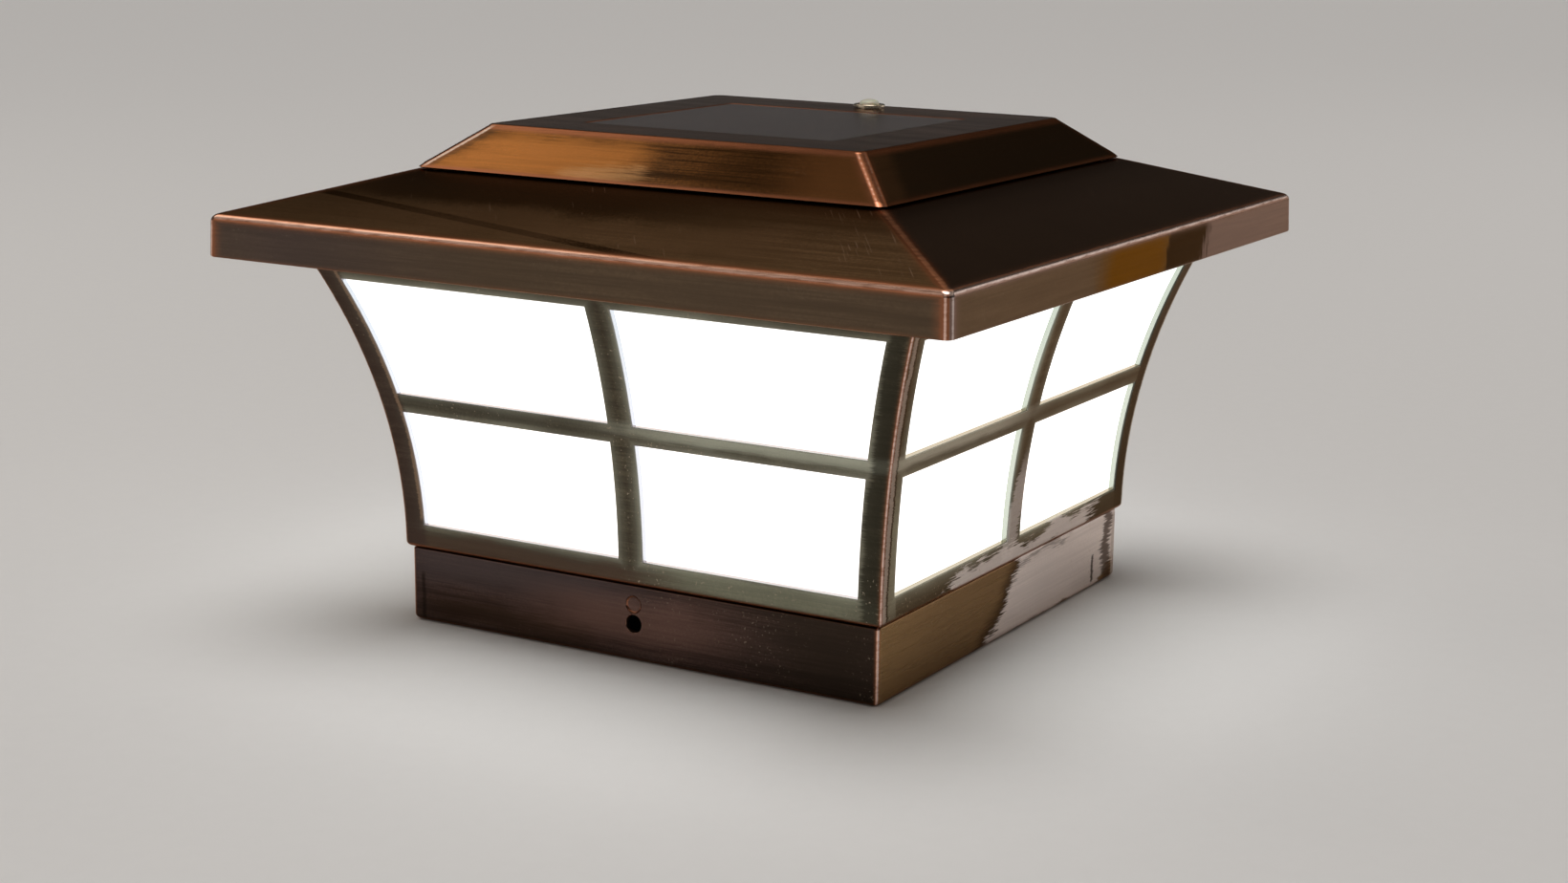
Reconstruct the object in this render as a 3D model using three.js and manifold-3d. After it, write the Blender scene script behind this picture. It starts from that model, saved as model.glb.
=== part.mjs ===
// Solar lantern cap for a 6x6 fence post, in antique copper plate.
//
// The cap comes apart into a lantern body and a head. The lantern body is a collar that drops over
// the post, a four-sided flared window frame, four frosted lenses and a white floor. The head is a
// hipped roof with a raised crown that holds a solar panel and a push button, and it lifts off to
// reach the battery door in its white underside.
//
// Millimetres, +Z up. The origin is the centre of the square that the collar's bottom rim stands on.

import * as THREE from 'three';
import { mergeVertices } from 'three/addons/utils/BufferGeometryUtils.js';
import Module from 'manifold-3d';

// ---- Driving dimensions ------------------------------------------------------------------------

const GAP = 0.3; // air left between pieces that rest on or clamp each other
const CORNER_STEPS = 3; // flats round each vertical corner of a square shell
const PAST = 1; // how far a cutter runs past the face that it cuts
const SUNK = 0.5; // how far a boss or rib runs into the wall that carries it

// Collar: the skirt that covers the top of the post.
const COLLAR_HALF = 75;
const COLLAR_WALL = 2;
const COLLAR_HEIGHT = 21.1;
const LEDGE_INNER_HALF = 64; // the ledge inside it sits on the end of the post
const COLLAR_CORNER = 1.4;
const POST_SCREW_HEIGHT = 10.3;
const POST_SCREW_RADIUS = 2.5;
const DIMPLE_HEIGHT = 15.7;
const DIMPLE_DEPTH = 0.5;

// Window frame: its walls flare outwards on one long arc.
const FRAME_BOTTOM = COLLAR_HEIGHT + GAP;
const FRAME_TOP = 106;
const FRAME_FOOT_HALF = 76.4;
const FLARE_RADIUS = 205;
const FRAME_WALL = 2;
const FRAME_CORNER = 1.2;
const FRAME_FOOT = 2; // thickness of the inward foot that stands on the collar
const STILE = 7.2;
const MUNTIN = 8;
const PANE_ROWS = [[28.4, 60.8], [66.2, 98.5]];

// Lenses and floor.
const LENS_WALL = 1.6;
const LENS_TOP = 104;
const LENS_SIDE_GAP = 3.2; // keeps neighbouring lenses apart behind the corner stiles
const FLOOR_HALF = 71.6;
const FLOOR_WALL = 1.6;
const FLOOR_CLIP = 14; // length cut from each corner, clear of the screw bosses

// Roof.
const EAVE_HALF = 112.4;
const EAVE_BOTTOM = 104.7;
const FASCIA_TOP_HALF = 112.1;
const FASCIA_TOP = 116;
const ROOF_WALL = 2;
const ROOF_CORNER = 2.2;
const SEAT_HALF = 72.9; // the level seat under the crown
const SEAT_TOP = 127.6;
const SEAT_INNER_HALF = 56;

// Crown: the truncated pyramid on the roof.
const CROWN_BOTTOM = SEAT_TOP + GAP;
const CROWN_FOOT_HALF = 72.8;
const CROWN_TOP = 139.7;
const CROWN_TOP_HALF = 59.1;
const CROWN_WALL = 2;
const CROWN_CORNER = 2.4;

// Solar panel, let into the top of the crown.
const PANEL_SIZE = new THREE.Vector2(79, 76);
const PANEL_CENTRE_Y = -1.8;
const PANEL_SIDE_GAP = 0.45;
const RECESS_FLOOR = 136.2;
const RECESS_FLOOR_WALL = 1.3;
const RECESS_SIDE_WALL = 1.6;
const GASKET_WIDTH = 3;
const CELL_COLUMNS = 2;
const CELL_ROWS = 4;
const CELL_SPACE = 1.2;
const PANEL_BORDER = 2.5; // from the panel's edge to its cells
const GASKET_THICKNESS = 0.6;
const PANEL_BOARD_THICKNESS = 0.8;
const CELL_THICKNESS = 0.2;
const GLASS_THICKNESS = 0.6;
const PANEL_WIRE_Y = -24;
const PANEL_WIRE_HOLE_RADIUS = 3;

// Push button, behind the panel.
const BUTTON_Y = 51;
const BUTTON_RADIUS = 2.9;
const BUTTON_TRAVEL = 1;
const BUTTON_DOME_SHARE = 0.42; // the dome's height as a share of its radius
const STEM_RADIUS = 1.5;
const BEZEL_BORE = 3.2;
const BEZEL_NECK = 3.9;
const BEZEL_FLANGE = 4.75;
const NUT_RADIUS = 5.7; // across its corners
const NUT_HEIGHT = 2.4;
const SWITCH_RADIUS = 4.4;
const SWITCH_BORE = 1.9;
const SWITCH_BOTTOM = 124;

// Tray: the white underside of the head.
const TRAY_BOTTOM = FRAME_TOP + GAP;
const TRAY_WALL = 2;
const TRAY_TOP = TRAY_BOTTOM + TRAY_WALL;
const TRAY_HALF = 98;
const SPIGOT_HALF = 88;
const SPIGOT_BOTTOM = 101;
const SPIGOT_WALL = 1.6;
const SPIGOT_CORNER = 1;

// Battery bay in the tray, with its hinged door.
const BAY_HALF_LENGTH = 39.6;
const BAY_NEAR = 16.9;
const BAY_FAR = 43.4;
const BAY_MIDDLE = 30.1;
const BAY_TOP = 131;
const BAY_WALL = 1.5;
const HINGE_Y = 14.6;
const HINGE_Z = 103.8;
const KNUCKLE_RADIUS = 2.2;
const KNUCKLE_BORE = 1.1;
const HINGE_PIN_RADIUS = 0.8;
const DOOR_KNUCKLE_HALF = 24;
const TRAY_KNUCKLE_LENGTH = 9;
const PULL_HALF = 7; // the door's finger pull
const PULL_DROP = 2.2;
const BATTERY_RADIUS = 9.1;
const BATTERY_Z = 118.3;
const BATTERY_LENGTH = 65;
const BATTERY_FLAT_END = -28.5; // where its flat end lies along X
const BATTERY_TIP_RADIUS = 3;
const CONTACT_HALF = 6;
const CONTACT_WALL = 0.5;
const SPRING_TURNS = 4;
const SPRING_RADIUS = 5; // at the wide end
const SPRING_TAPER = 1.6;
const SPRING_WIRE_RADIUS = 0.4;

// Electronics.
const BOARD_HALF = 55;
const BOARD_NEAR = -46;
const BOARD_FAR = -10;
const BOARD_BOTTOM = 111;
const BOARD_TOP = 112.6;
const LED_SPACING = 30;
const LED_Y = -28;
const LED_RADIUS = 2.5;
const LED_FLANGE = 0.4; // how far the flange stands out round the dome
const LED_DOME_CENTRE = 105;
const LED_HOLE_RADIUS = 3;
const STANDOFF_RADIUS = 2;
const CHOKE_RADIUS = 4;
const CHOKE_HEIGHT = 5;
const WIRE_RADIUS = 0.7;

// Fasteners and the bosses that they run into.
const BOSS_RADIUS = 3.6;
const PILOT_RADIUS = 1.7; // hole that a screw's thread runs into
const HEAD_HEIGHT = 2;
const CROWN_BOSS_RADIUS = 3.2;
const CROWN_PILOT_RADIUS = 1.6;

// Fastener places, as the same distance from the centre in X and in Y.
const BASE_SCREW_PLACE = 67.5;
const CROWN_SCREW_PLACE = 59.5;
const TRAY_SCREW_PLACE = 80;

// ---- Materials ---------------------------------------------------------------------------------

function material(color, roughness, metalness) {
  return new THREE.MeshStandardMaterial({ color, roughness, metalness });
}

const antiqueCopper = material(0x4a3028, 0.32, 1);
const frostedLens = material(0xf4f8fa, 0.55, 0);
const whitePlastic = material(0xe9e8e2, 0.5, 0);
const panelBlack = material(0x17181c, 0.4, 0);
const siliconCell = material(0x131c33, 0.25, 0.3);
const coverGlass = material(0x2a2d33, 0.08, 0);
const clearSilicone = material(0xe6dcc2, 0.35, 0);
const nickelPlate = material(0xb9b4a8, 0.25, 1);
const boardGreen = material(0x1f5a38, 0.5, 0);
const batterySleeve = material(0x2f6fa8, 0.4, 0);
const screwZinc = material(0xa9abad, 0.3, 1);
const ledLens = material(0xfff7d8, 0.15, 0);
const blackPlastic = material(0x1a1a1a, 0.5, 0);
const gasketRubber = material(0x202020, 0.8, 0);
const redWire = material(0xa01818, 0.5, 0);
const blackWire = material(0x141414, 0.5, 0);

// ---- Solids and booleans -----------------------------------------------------------------------

const wasm = await Module();
wasm.setup();

// A closed three.js geometry as a solid that can be joined and cut.
function solid(geometry) {
  const bare = geometry.clone();
  bare.deleteAttribute('normal');
  bare.deleteAttribute('uv');
  const merged = mergeVertices(bare, 1e-3);
  const corners = merged.index.array;
  const triVerts = [];
  for (let i = 0; i < corners.length; i += 3) {
    const [a, b, c] = [corners[i], corners[i + 1], corners[i + 2]];
    if (a !== b && b !== c && c !== a) triVerts.push(a, b, c);
  }
  return new wasm.Manifold(new wasm.Mesh({
    numProp: 3,
    vertProperties: new Float32Array(merged.attributes.position.array),
    triVerts: new Uint32Array(triVerts),
  }));
}

function geometryOf(body) {
  const { vertProperties, triVerts } = body.getMesh();
  const geometry = new THREE.BufferGeometry();
  geometry.setAttribute('position', new THREE.BufferAttribute(vertProperties, 3));
  geometry.setIndex(new THREE.BufferAttribute(triVerts, 1));
  geometry.computeVertexNormals();
  return geometry;
}

// The first geometry with others joined on, then others cut away.
function carve(base, { add = [], cut = [] }) {
  let body = solid(base);
  for (const piece of add) body = body.add(solid(piece));
  for (const piece of cut) body = body.subtract(solid(piece));
  return geometryOf(body);
}

// ---- Basic shapes ------------------------------------------------------------------------------

function points(...pairs) {
  return pairs.map(([across, up]) => new THREE.Vector2(across, up));
}

// A box from its two opposite corners.
function block([x0, y0, z0], [x1, y1, z1]) {
  const geometry = new THREE.BoxGeometry(x1 - x0, y1 - y0, z1 - z0);
  return geometry.translate((x0 + x1) / 2, (y0 + y1) / 2, (z0 + z1) / 2);
}

// An upright round body. The outline gives radius and height, from the axis round to the axis.
function turned(outline, [x, y], segments = 16) {
  const geometry = new THREE.LatheGeometry(outline, segments);
  return geometry.rotateX(Math.PI / 2).translate(x, y, 0);
}

function rod(radius, bottom, top, place, segments = 16) {
  return turned(points([0, bottom], [radius, bottom], [radius, top], [0, top]), place, segments);
}

// A round bar along X.
function crossBar(radius, x0, x1, y, z, segments = 12) {
  const geometry = new THREE.CylinderGeometry(radius, radius, x1 - x0, segments);
  return geometry.rotateZ(Math.PI / 2).translate((x0 + x1) / 2, y, z);
}

// A square shell: a lathe whose rings are squares with rounded corners. The outline gives the
// half width of the square and its height, outer side first going up, and closes on itself.
function squareShell(outline, cornerRadius) {
  const perCorner = CORNER_STEPS + 1;
  const rings = 4 * perCorner;
  const closed = [...outline, outline[0]];
  const geometry = new THREE.LatheGeometry(closed, rings);
  const vertices = geometry.attributes.position;
  for (let i = 0; i < vertices.count; i += 1) {
    const ring = Math.floor(i / closed.length) % rings;
    const { x: half, y: height } = closed[i % closed.length];
    const corner = Math.floor(ring / perCorner);
    const middle = (corner - 0.5) * Math.PI / 2;
    const turn = (corner - 1 + (ring % perCorner) / CORNER_STEPS) * Math.PI / 2;
    const reach = (half - cornerRadius) * Math.SQRT2;
    vertices.setXYZ(
      i,
      reach * Math.cos(middle) + cornerRadius * Math.cos(turn),
      reach * Math.sin(middle) + cornerRadius * Math.sin(turn),
      height,
    );
  }
  return geometry;
}

// An upright plate cut to a flat outline.
function plate(outline, bottom, top) {
  const options = { depth: top - bottom, bevelEnabled: false };
  return new THREE.ExtrudeGeometry(new THREE.Shape(outline), options).translate(0, 0, bottom);
}

// A tube with a six-sided section.
function tube(route, radius, steps) {
  const section = new THREE.Shape();
  section.absarc(0, 0, radius, 0, 2 * Math.PI);
  const options = { steps, curveSegments: 3, extrudePath: route, bevelEnabled: false };
  return new THREE.ExtrudeGeometry(section, options);
}

// The four places at the same distance from both axes, one in each corner.
function fourPlaces(distance) {
  return [[1, -1], [1, 1], [-1, 1], [-1, -1]].map(([x, y]) => [x * distance, y * distance]);
}

// A rounded outside edge: the points of an arc from one direction round to another.
function edgeArc(centre, radius, from, to, steps) {
  const arc = [];
  for (let i = 0; i <= steps; i += 1) {
    const angle = THREE.MathUtils.degToRad(from + (to - from) * i / steps);
    arc.push([centre[0] + radius * Math.cos(angle), centre[1] + radius * Math.sin(angle)]);
  }
  return arc;
}

// ---- The model ---------------------------------------------------------------------------------

const group = new THREE.Group();

function addPiece(name, geometry, finish) {
  const mesh = new THREE.Mesh(geometry, finish);
  mesh.name = name;
  group.add(mesh);
}

// ---- Lantern body ------------------------------------------------------------------------------

const LEDGE_BOTTOM = COLLAR_HEIGHT - COLLAR_WALL;

function baseCollar() {
  const inner = COLLAR_HALF - COLLAR_WALL;
  const shell = squareShell(points(
    [COLLAR_HALF, 0],
    [COLLAR_HALF, COLLAR_HEIGHT],
    [LEDGE_INNER_HALF, COLLAR_HEIGHT],
    [LEDGE_INNER_HALF, LEDGE_BOTTOM],
    [inner, LEDGE_BOTTOM],
    [inner, 0],
  ), COLLAR_CORNER);
  const cut = [];
  for (const side of [-1, 1]) {
    const hole = new THREE.CylinderGeometry(POST_SCREW_RADIUS, POST_SCREW_RADIUS, 8, 20);
    cut.push(hole.translate(0, side * COLLAR_HALF, POST_SCREW_HEIGHT));
    const dimple = new THREE.CylinderGeometry(POST_SCREW_RADIUS, POST_SCREW_RADIUS, 2 * DIMPLE_DEPTH, 20);
    cut.push(dimple.translate(0, side * COLLAR_HALF, DIMPLE_HEIGHT));
  }
  for (const place of fourPlaces(BASE_SCREW_PLACE)) {
    const [mouth, throat] = [3.6, 1.8];
    const countersink = points(
      [0, LEDGE_BOTTOM - PAST],
      [mouth, LEDGE_BOTTOM - PAST],
      [mouth, LEDGE_BOTTOM],
      [throat, LEDGE_BOTTOM + 1.7],
      [throat, COLLAR_HEIGHT + PAST],
      [0, COLLAR_HEIGHT + PAST],
    );
    cut.push(turned(countersink, place));
  }
  return carve(shell, { cut });
}

function flareHalf(height) {
  const rise = height - FRAME_BOTTOM;
  return FRAME_FOOT_HALF + FLARE_RADIUS - Math.sqrt(FLARE_RADIUS ** 2 - rise ** 2);
}

// Points up the flare, set in from its outer face.
function flareLine(setIn, bottom, top, steps) {
  const line = [];
  for (let i = 0; i <= steps; i += 1) {
    const height = bottom + (top - bottom) * i / steps;
    line.push([flareHalf(height) - setIn, height]);
  }
  return line;
}

// The cutter for one window pane in the front wall. Its outer edge follows the corner stile.
function paneCutter([bottom, top], side) {
  const edge = flareLine(STILE, bottom, top, 5);
  const outline = [[MUNTIN / 2, bottom], ...edge, [MUNTIN / 2, top]];
  const shape = new THREE.Shape(points(...outline.map(([across, up]) => [side * across, up])));
  const options = { depth: 50, bevelEnabled: false };
  return new THREE.ExtrudeGeometry(shape, options).rotateX(Math.PI / 2).translate(0, -60, 0);
}

function windowFrame() {
  const footTop = FRAME_BOTTOM + FRAME_FOOT;
  const shell = squareShell(points(
    ...flareLine(0, FRAME_BOTTOM, FRAME_TOP, 12),
    ...flareLine(FRAME_WALL, footTop, FRAME_TOP, 12).reverse(),
    [LEDGE_INNER_HALF + 1, footTop],
    [LEDGE_INNER_HALF + 1, FRAME_BOTTOM],
  ), FRAME_CORNER);
  const bossTop = 33;
  const places = fourPlaces(BASE_SCREW_PLACE);
  const add = places.map((place) => rod(BOSS_RADIUS, FRAME_BOTTOM + 1, bossTop, place));
  const cut = places.map((place) => rod(PILOT_RADIUS, FRAME_BOTTOM - PAST, bossTop - 1, place));
  for (let wall = 0; wall < 4; wall += 1) {
    for (const row of PANE_ROWS) {
      for (const side of [-1, 1]) cut.push(paneCutter(row, side).rotateZ(wall * Math.PI / 2));
    }
  }
  return carve(shell, { add, cut });
}

// One frosted lens: the part of a flared ring that stands behind one wall of the frame.
function lens(wall) {
  const bottom = FRAME_BOTTOM + FRAME_FOOT + GAP;
  const outer = FRAME_WALL + GAP;
  const ring = squareShell(points(
    ...flareLine(outer, bottom, LENS_TOP, 10),
    ...flareLine(outer + LENS_WALL, bottom, LENS_TOP, 10).reverse(),
  ), FRAME_CORNER);
  const far = 130;
  const wedge = plate(points([0, -LENS_SIDE_GAP], [LENS_SIDE_GAP - far, -far], [far - LENS_SIDE_GAP, -far]),
    bottom - 5, LENS_TOP + 5).rotateZ(wall * Math.PI / 2);
  return geometryOf(solid(ring).intersect(solid(wedge)));
}

function floorPlate() {
  const bottom = FRAME_BOTTOM + FRAME_FOOT + GAP;
  const clip = FLOOR_HALF - FLOOR_CLIP;
  const outline = [];
  for (const [x, y] of [[1, -1], [1, 1], [-1, 1], [-1, -1]]) {
    const first = [x * clip, y * FLOOR_HALF];
    const second = [x * FLOOR_HALF, y * clip];
    outline.push(...(x * y < 0 ? [first, second] : [second, first]));
  }
  return plate(points(...outline), bottom, bottom + FLOOR_WALL);
}

// A countersunk screw that holds the collar to the frame from below.
function baseScrew(place) {
  const head = LEDGE_BOTTOM + 0.1;
  const [headRadius, neck, shank] = [3.1, 1.4, 1.35];
  return turned(points([0, head], [headRadius, head], [neck, head + 1.7], [shank, 30], [0, 31.2]), place, 14);
}

addPiece('base_collar', baseCollar(), antiqueCopper);
addPiece('window_frame', windowFrame(), antiqueCopper);
['lens_front', 'lens_right', 'lens_back', 'lens_left'].forEach((name, wall) => {
  addPiece(name, lens(wall), frostedLens);
});
addPiece('floor_plate', floorPlate(), whitePlastic);
fourPlaces(BASE_SCREW_PLACE).forEach((place, i) => {
  addPiece(`base_screw_${i + 1}`, baseScrew(place), screwZinc);
});

// ---- Roof and crown ----------------------------------------------------------------------------

function roofPan() {
  const slope = Math.atan2(SEAT_TOP - FASCIA_TOP, FASCIA_TOP_HALF - SEAT_HALF);
  const drop = ROOF_WALL / Math.cos(slope);
  const edge = 2;
  const shell = squareShell(points(
    [EAVE_HALF, EAVE_BOTTOM],
    ...edgeArc([FASCIA_TOP_HALF - edge, FASCIA_TOP - edge + 0.4], edge, 5, 72, 3),
    [SEAT_HALF, SEAT_TOP],
    [SEAT_INNER_HALF, SEAT_TOP],
    [SEAT_INNER_HALF, SEAT_TOP - ROOF_WALL],
    [SEAT_HALF - 0.5, SEAT_TOP - ROOF_WALL],
    [FASCIA_TOP_HALF - ROOF_WALL, FASCIA_TOP - drop],
    [EAVE_HALF - ROOF_WALL, EAVE_BOTTOM],
  ), ROOF_CORNER);
  const bosses = fourPlaces(TRAY_SCREW_PLACE);
  const [bossTop, pilotTop] = [123.2, 119];
  return carve(shell, {
    add: bosses.map((place) => rod(BOSS_RADIUS, TRAY_TOP + GAP, bossTop, place)),
    cut: [
      ...bosses.map((place) => rod(PILOT_RADIUS, TRAY_TOP - PAST, pilotTop, place)),
      ...fourPlaces(CROWN_SCREW_PLACE).map((place) => rod(PILOT_RADIUS, SEAT_TOP - 4, SEAT_TOP + PAST, place)),
    ],
  });
}

// The box that the panel's recess takes up, grown on its sides.
function recessBlock(grow, bottom, top) {
  const halfX = PANEL_SIZE.x / 2 + grow;
  const halfY = PANEL_SIZE.y / 2 + grow;
  return block([-halfX, PANEL_CENTRE_Y - halfY, bottom], [halfX, PANEL_CENTRE_Y + halfY, top]);
}

function crownCap() {
  const edge = 1.2;
  const inner = 2.9; // wall thickness measured level
  const topHole = 30; // half width of the hole that the recess's block fills
  const [bossTop, pilotTop] = [135.4, 133.6];
  const places = fourPlaces(CROWN_SCREW_PLACE);
  const closedTop = squareShell(points(
    [CROWN_FOOT_HALF, CROWN_BOTTOM],
    ...edgeArc([CROWN_TOP_HALF - edge + 0.3, CROWN_TOP - edge], edge, 35, 90, 3),
    [topHole, CROWN_TOP],
    [topHole, CROWN_TOP - CROWN_WALL],
    [CROWN_TOP_HALF - 1.3, CROWN_TOP - CROWN_WALL],
    [CROWN_FOOT_HALF - inner, CROWN_BOTTOM],
  ), CROWN_CORNER);
  return carve(closedTop, {
    add: [
      recessBlock(RECESS_SIDE_WALL, RECESS_FLOOR - RECESS_FLOOR_WALL, CROWN_TOP - SUNK),
      ...places.map((place) => rod(CROWN_BOSS_RADIUS, CROWN_BOTTOM, bossTop, place)),
    ],
    cut: [
      recessBlock(0, RECESS_FLOOR, CROWN_TOP + PAST),
      rod(PANEL_WIRE_HOLE_RADIUS, RECESS_FLOOR - 3, RECESS_FLOOR + PAST, [0, PANEL_WIRE_Y]),
      rod(BEZEL_NECK + GAP, CROWN_TOP - 4, CROWN_TOP + PAST, [0, BUTTON_Y], 20),
      ...places.map((place) => rod(CROWN_PILOT_RADIUS, CROWN_BOTTOM - PAST, pilotTop, place)),
    ],
  });
}

// A pan-headed screw driven upwards.
function panScrew(headBottom, headRadius, shankRadius, tip, place) {
  const seat = headBottom + HEAD_HEIGHT;
  return turned(points(
    [0, headBottom],
    [headRadius * 0.7, headBottom],
    [headRadius, headBottom + 0.8],
    [headRadius, seat],
    [shankRadius, seat],
    [shankRadius, tip - 1.2],
    [0, tip],
  ), place, 14);
}

addPiece('roof_pan', roofPan(), antiqueCopper);
addPiece('crown_cap', crownCap(), antiqueCopper);
fourPlaces(CROWN_SCREW_PLACE).forEach((place, i) => {
  const headBottom = SEAT_TOP - ROOF_WALL - GAP - HEAD_HEIGHT;
  addPiece(`crown_screw_${i + 1}`, panScrew(headBottom, 2.8, 1.3, 133.2, place), screwZinc);
});

// ---- Solar panel -------------------------------------------------------------------------------

const GASKET_BOTTOM = RECESS_FLOOR + GAP;
const PANEL_BOARD_BOTTOM = GASKET_BOTTOM + GASKET_THICKNESS + GAP;
const CELL_BOTTOM = PANEL_BOARD_BOTTOM + PANEL_BOARD_THICKNESS + GAP;
const GLASS_BOTTOM = CELL_BOTTOM + CELL_THICKNESS + GAP;

function panelGasket() {
  const outer = recessBlock(-PANEL_SIDE_GAP, GASKET_BOTTOM, GASKET_BOTTOM + GASKET_THICKNESS);
  const hole = recessBlock(-PANEL_SIDE_GAP - GASKET_WIDTH, GASKET_BOTTOM - PAST, GASKET_BOTTOM + 2);
  return carve(outer, { cut: [hole] });
}

addPiece('panel_gasket', panelGasket(), gasketRubber);
const panelBoard = recessBlock(-PANEL_SIDE_GAP, PANEL_BOARD_BOTTOM, PANEL_BOARD_BOTTOM + PANEL_BOARD_THICKNESS);
addPiece('panel_board', panelBoard, panelBlack);

const cellPitchX = (PANEL_SIZE.x - 2 * PANEL_BORDER) / CELL_COLUMNS;
const cellPitchY = (PANEL_SIZE.y - 2 * PANEL_BORDER) / CELL_ROWS;
for (let row = 0; row < CELL_ROWS; row += 1) {
  for (let column = 0; column < CELL_COLUMNS; column += 1) {
    const x = (column - CELL_COLUMNS / 2) * cellPitchX;
    const y = PANEL_CENTRE_Y + (row - CELL_ROWS / 2) * cellPitchY;
    addPiece(
      `solar_cell_${row * CELL_COLUMNS + column + 1}`,
      block(
        [x + CELL_SPACE / 2, y + CELL_SPACE / 2, CELL_BOTTOM],
        [x + cellPitchX - CELL_SPACE / 2, y + cellPitchY - CELL_SPACE / 2, CELL_BOTTOM + CELL_THICKNESS],
      ),
      siliconCell,
    );
  }
}
addPiece('panel_glass', recessBlock(-PANEL_SIDE_GAP, GLASS_BOTTOM, GLASS_BOTTOM + GLASS_THICKNESS), coverGlass);

// ---- Push button -------------------------------------------------------------------------------

const BEZEL_TOP = CROWN_TOP + GAP + 0.8;
const NECK_BOTTOM = 133;
const STEM_BOTTOM = 131.2;

function switchBezel() {
  return turned(points(
    [BEZEL_BORE, NECK_BOTTOM],
    [BEZEL_NECK, NECK_BOTTOM],
    [BEZEL_NECK, CROWN_TOP + GAP],
    [BEZEL_FLANGE, CROWN_TOP + GAP],
    [BEZEL_FLANGE, BEZEL_TOP - 0.3],
    [BEZEL_FLANGE - 0.5, BEZEL_TOP],
    [BEZEL_BORE, BEZEL_TOP],
    [BEZEL_BORE, NECK_BOTTOM],
  ), [0, BUTTON_Y], 24);
}

function powerButton() {
  const shoulder = BEZEL_TOP + 0.2;
  const dome = edgeArc([0, shoulder], BUTTON_RADIUS, 0, 90, 4).map(
    ([across, up]) => [across, shoulder + (up - shoulder) * BUTTON_DOME_SHARE],
  );
  return turned(points(
    [0, STEM_BOTTOM],
    [STEM_RADIUS, STEM_BOTTOM],
    [STEM_RADIUS, CROWN_TOP - 1.5],
    [BUTTON_RADIUS, CROWN_TOP - 1.5],
    ...dome.slice(0, -1),
    [0, dome[dome.length - 1][1]],
  ), [0, BUTTON_Y], 20);
}

function switchNut() {
  const top = CROWN_TOP - CROWN_WALL - GAP;
  const hex = new THREE.CylinderGeometry(NUT_RADIUS, NUT_RADIUS, NUT_HEIGHT, 6).rotateX(Math.PI / 2);
  hex.translate(0, BUTTON_Y, top - NUT_HEIGHT / 2);
  return carve(hex, { cut: [rod(BEZEL_NECK + GAP, top - 4, top + PAST, [0, BUTTON_Y], 20)] });
}

function switchBody() {
  const top = NECK_BOTTOM - GAP;
  const boreFloor = STEM_BOTTOM - BUTTON_TRAVEL - 1;
  return turned(points(
    [0, SWITCH_BOTTOM],
    [SWITCH_RADIUS, SWITCH_BOTTOM],
    [SWITCH_RADIUS, top],
    [SWITCH_BORE, top],
    [SWITCH_BORE, boreFloor],
    [0, boreFloor],
  ), [0, BUTTON_Y], 18);
}

addPiece('switch_bezel', switchBezel(), nickelPlate);
addPiece('power_button', powerButton(), clearSilicone);
addPiece('switch_nut', switchNut(), screwZinc);
addPiece('switch_body', switchBody(), blackPlastic);

// ---- Tray, battery bay and door ----------------------------------------------------------------

const KNUCKLE_CENTRES = [-1, 1].map((side) => side * (DOOR_KNUCKLE_HALF + GAP + TRAY_KNUCKLE_LENGTH / 2));

function ledPlaces() {
  return [0, 1, 2, 3].map((i) => [(i - 1.5) * LED_SPACING, LED_Y]);
}

function lightTray() {
  const spigot = squareShell(points(
    [SPIGOT_HALF, SPIGOT_BOTTOM],
    [SPIGOT_HALF, TRAY_BOTTOM + SUNK],
    [SPIGOT_HALF - SPIGOT_WALL, TRAY_BOTTOM + SUNK],
    [SPIGOT_HALF - SPIGOT_WALL, SPIGOT_BOTTOM],
  ), SPIGOT_CORNER);
  const add = [spigot];
  for (const x of [-BOARD_HALF + 3, BOARD_HALF - 3]) {
    for (const y of [BOARD_NEAR + 3, BOARD_FAR - 3]) {
      add.push(rod(STANDOFF_RADIUS, TRAY_TOP - SUNK, BOARD_BOTTOM - GAP, [x, y], 12));
    }
  }
  const cut = [
    block([-BAY_HALF_LENGTH, BAY_NEAR, TRAY_BOTTOM - PAST], [BAY_HALF_LENGTH, BAY_FAR, TRAY_TOP + PAST]),
    ...ledPlaces().map((place) => rod(LED_HOLE_RADIUS, TRAY_BOTTOM - PAST, TRAY_TOP + PAST, place)),
    ...fourPlaces(TRAY_SCREW_PLACE).map((place) => rod(1.8, TRAY_BOTTOM - PAST, TRAY_TOP + PAST, place, 12)),
  ];
  for (const x of KNUCKLE_CENTRES) {
    const [x0, x1] = [x - TRAY_KNUCKLE_LENGTH / 2, x + TRAY_KNUCKLE_LENGTH / 2];
    add.push(crossBar(KNUCKLE_RADIUS, x0, x1, HINGE_Y, HINGE_Z));
    add.push(block([x0, HINGE_Y - 2, HINGE_Z], [x1, HINGE_Y + 2, TRAY_BOTTOM + SUNK]));
    cut.push(crossBar(KNUCKLE_BORE, x0 - PAST, x1 + PAST, HINGE_Y, HINGE_Z));
  }
  return carve(block([-TRAY_HALF, -TRAY_HALF, TRAY_BOTTOM], [TRAY_HALF, TRAY_HALF, TRAY_TOP]), { add, cut });
}

function batteryHolder() {
  const bottom = TRAY_TOP + GAP;
  const [inX, nearY, farY] = [BAY_HALF_LENGTH, BAY_NEAR + 0.2, BAY_FAR - 0.2];
  const outer = block([-inX - BAY_WALL, nearY - BAY_WALL, bottom], [inX + BAY_WALL, farY + BAY_WALL, BAY_TOP]);
  const bay = block([-inX, nearY, bottom - PAST], [inX, farY, BAY_TOP - BAY_WALL]);
  return carve(outer, { cut: [bay] });
}

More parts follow.
